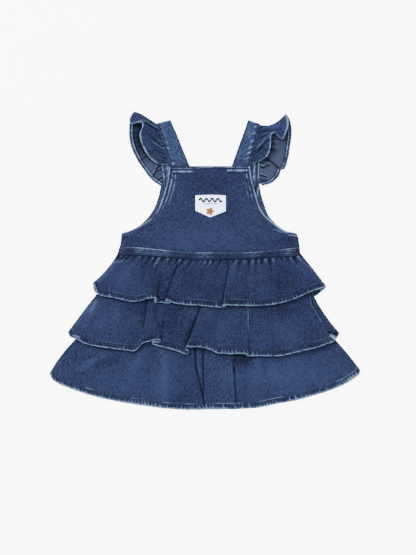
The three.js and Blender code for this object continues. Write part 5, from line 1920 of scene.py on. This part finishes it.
RUFFLE_RIGHT = Ruffle(
    "shoulder_ruffle_right_cloth",
    seam_x=(67.8, 70.6, 73.2, 75.6, 77.4, 79, 79.8, 80.6, 81.4, 82, 82.4, 82.8, 83, 83, 82.9, 82.8, 82.7,
            82.6, 82.4, 82.35, 82.3, 82.2, 82, 81.8),
    seam_y=(140.5, 151.5, 162, 171.6, 178.6, 184.6, 188.2, 191.8, 195.2, 198.2, 200.6, 202.8, 203.6, 202.4,
            197, 186, 174, 162, 152, 149, 146, 141, 129, 116),
    seam_z=(2.8, 3.4, 4.1, 4.6, 4.9, 5.0, 5.1, 5.1, 5.1, 4.9, 4.5, 3.8, 2.8, 1.9, 0.9, *[0.5] * 9),
    hem_x=(71.4, 84.3, 92.6, 97.2, 99, 99.6, 104.2, 110, 115.6, 121, 124.5, 124, 121.4, 127, 130, 130.4,
           128.6, 125.8, 122.0, 119.2, 115.2, 111.8, 100.4, 86.5),
    hem_y=(146, 150.1, 155.6, 165.4, 178, 188.4, 190.6, 185, 180.4, 190.8, 202.4, 211, 220.6, 212, 201, 189,
           173.7, 156.3, 142.0, 136.8, 136.0, 127.6, 116.2, 111.9),
    hem_z=(3.4, 4.6, 5.8, 6.4, 6.2, 5.4, 6.2, 8.2, 9.8, 10.6, 9.4, 7.6, 5.0, 2.6, 0.8, 0.5, 0.5, 0.5, 0.6,
           0.8, *[0.5] * 4),
    bow=(0, 0, 0, 0, 0, 2, 5, 8, 7, 0, -3, -6.4, -8, -7, -2, *[0] * 9),
    hollow=0.12,
    front_creases=(
        Crease((76, 165), (97, 189.5), 0.9, 2.2, 0.0, 0.3, 1.3, 1, 0.2, 0.2),
        Crease((78, 162), (99, 184), -0.8, 1.8, 0.6, 0.0, 1.4, 1, 0.2),
        Crease((80, 182), (100, 192), -0.6, 1.8, 0.7, 0.22, 1.3, 1, 0.25),
        Crease((80, 192), (112, 196), -0.5, 2.0, 0.45, 0.18, 1.5, -1, 0.3),
        Crease((106, 190), (118, 212), 0.5, 2.4, 0.2, 0.12, 1.8, 1, 0.3),
    ),
    back_creases=(
        Crease((91, 154.5), (112, 137.5), 0.8, 2.0, 1.0, 0.12, 1.4, 1, 0.12),
        Crease((97, 166.5), (110, 162.5), 0.4, 2.0, 0.6, 0.0, 1.6, 1, 0.2),
        Crease((83, 138.5), (98, 143.5), 0.5, 1.6, 0.95, 0.2, 1.3, 1, 0.2),
        Crease((81, 129), (94, 124.5), 0.5, 1.6, 0.9, 0.42, 1.3, 1, 0.2),
        Crease((82, 120.5), (94, 119), 0.3, 1.6, 0.9, 0.0, 1.8, 1, 0.25),
    ),
    face_down=False,
    seed=90,
)


@dataclass(frozen=True)
class Cut:
    """How a finished piece is cut and sewn: the node it stands for, its slot and its flat cut (m)."""

    node: str
    slot: Slot
    flat: tuple[float, float]
    held: Held = Held.LAID
    rests_on: tuple[str, ...] = ()


CUTS = {
    f"{cut.node}_cloth": cut
    for cut in (
        Cut("back_bodice", Slot.BODICE, (0.27, 0.105)),
        Cut("front_bib", Slot.BODICE, (0.272, 0.13), Held.LAID, ("back_bodice",)),
        Cut("label_patch", Slot.PATCH, (0.045, 0.035), Held.LAID, ("front_bib",)),
        Cut("waistband_back", Slot.BODICE, (0.273, 0.012)),
        Cut("waistband_front", Slot.BODICE, (0.276, 0.012), Held.LAID, ("front_bib",)),
        Cut("tier_1_back", Slot.TIER_1, (0.35, 0.068)),
        Cut("tier_1_front", Slot.TIER_1, (0.40, 0.076), Held.GATHERED, ("tier_2_front",)),
        Cut("tier_2_back", Slot.TIER_2, (0.40, 0.102), Held.LAID, ("tier_1_back",)),
        Cut("tier_2_front", Slot.TIER_2, (0.46, 0.118), Held.GATHERED, ("under_skirt_front",)),
        Cut("tier_3_back", Slot.TIER_3, (0.46, 0.125), Held.LAID, ("tier_2_back",)),
        Cut("tier_3_front", Slot.TIER_3, (0.50, 0.129), Held.GATHERED, ("tier_3_back",)),
        Cut("under_skirt_back", Slot.TIER_2, (0.334, 0.091), Held.LAID, ("tier_2_back",)),
        Cut("under_skirt_front", Slot.TIER_2, (0.334, 0.091), Held.LAID, ("under_skirt_back",)),
        Cut("strap_left", Slot.STRAP, (0.024, 0.185), Held.FOLDED, ("back_bodice",)),
        Cut("strap_right", Slot.STRAP, (0.024, 0.185), Held.FOLDED, ("back_bodice",)),
        Cut("shoulder_ruffle_left", Slot.STRAP, (0.26, 0.045), Held.GATHERED, ("strap_left",)),
        Cut("shoulder_ruffle_right", Slot.STRAP, (0.29, 0.045), Held.GATHERED, ("strap_right",)),
    )
}


def cloth_finishes() -> dict[Slot, Material]:
    """Make the cloth of every slot, each denim with its dye and its slub colour.

    Returns:
        The material of each slot.
    """
    denims = (
        (Slot.BODICE, (26, 26, 51), (53, 63, 100)),
        (Slot.STRAP, (32, 36, 64), (66, 82, 122)),
        (Slot.TIER_1, (24, 24, 47), (49, 58, 94)),
        (Slot.TIER_2, (24, 25, 48), (52, 62, 99)),
        (Slot.TIER_3, (25, 27, 51), (56, 68, 106)),
    )
    finishes = {slot: Denim(f"{slot.value}_cloth", dye, slub).material() for slot, dye, slub in denims}
    return finishes | {Slot.PATCH: WovenPatch().material()}


def dress_piece(wall: ClothWall, finishes: dict[Slot, Material]) -> None:
    """Build a cloth piece with its slot's material, and hide the frame node that it stands for.

    The width and length in the cuts are estimates of the cut. The area isn't: it is the built
    wall's own area with an allowance, without the fullness of gathers, so a share measured against
    it is always near 1 and says nothing about the cut.

    Args:
        wall: the piece's wall.
        finishes: the material of each slot.
    """
    cut = CUTS[wall.name]
    piece = wall.build(finishes[cut.slot])
    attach(piece, "root")
    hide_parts(cut.node)
    log.info("%s: %d faces, %.4f square metres", wall.name, len(piece.data.polygons), wall.half_area())


def main() -> None:
    """Build the studio and every piece of the dress."""
    logging.basicConfig(level=logging.INFO, format="%(message)s")
    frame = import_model()
    log.info("frame with %d nodes", len(frame["nodes"]))
    studio = Studio()
    studio.camera()
    studio.floor()
    studio.light()

    finishes = cloth_finishes()
    navy = Thread("navy_thread", (30, 36, 66)).material()
    pale = Thread("pale_thread", (205, 214, 230)).material()
    tan = Thread("tan_thread", (204, 120, 60)).material()
    ink = Thread("ink_thread", (10, 14, 44)).material()
    waist = Waist()
    bodice = Bodice(waist)
    band = Waistband(waist, bodice)
    band_wall = band.front()
    for wall in (bodice.back(), bodice.bib(), band.back(), band_wall):
        dress_piece(wall, finishes)
    build_stitches("waistband_stitches", band.stitches(band_wall), navy)

    skirt = Skirt(waist)
    for number, tier in enumerate(skirt.fronts(), start=1):
        wall = tier.wall()
        dress_piece(wall, finishes)
        build_stitches(f"tier_{number}_stitches", tier.stitches(wall), navy)
    for piece in (*skirt.backs(), STRAP_LEFT, STRAP_RIGHT, RUFFLE_LEFT, RUFFLE_RIGHT):
        dress_piece(piece.wall(), finishes)

    patch = Patch(bodice)
    dress_piece(patch.wall(), finishes)
    build_stitches("patch_border_stitches", patch.border(), pale)
    build_stitches("patch_wave_stitches", patch.waves(), ink)
    build_stitches("patch_flower_stitches", patch.flower(), tan)


if __name__ == "__main__":
    main()
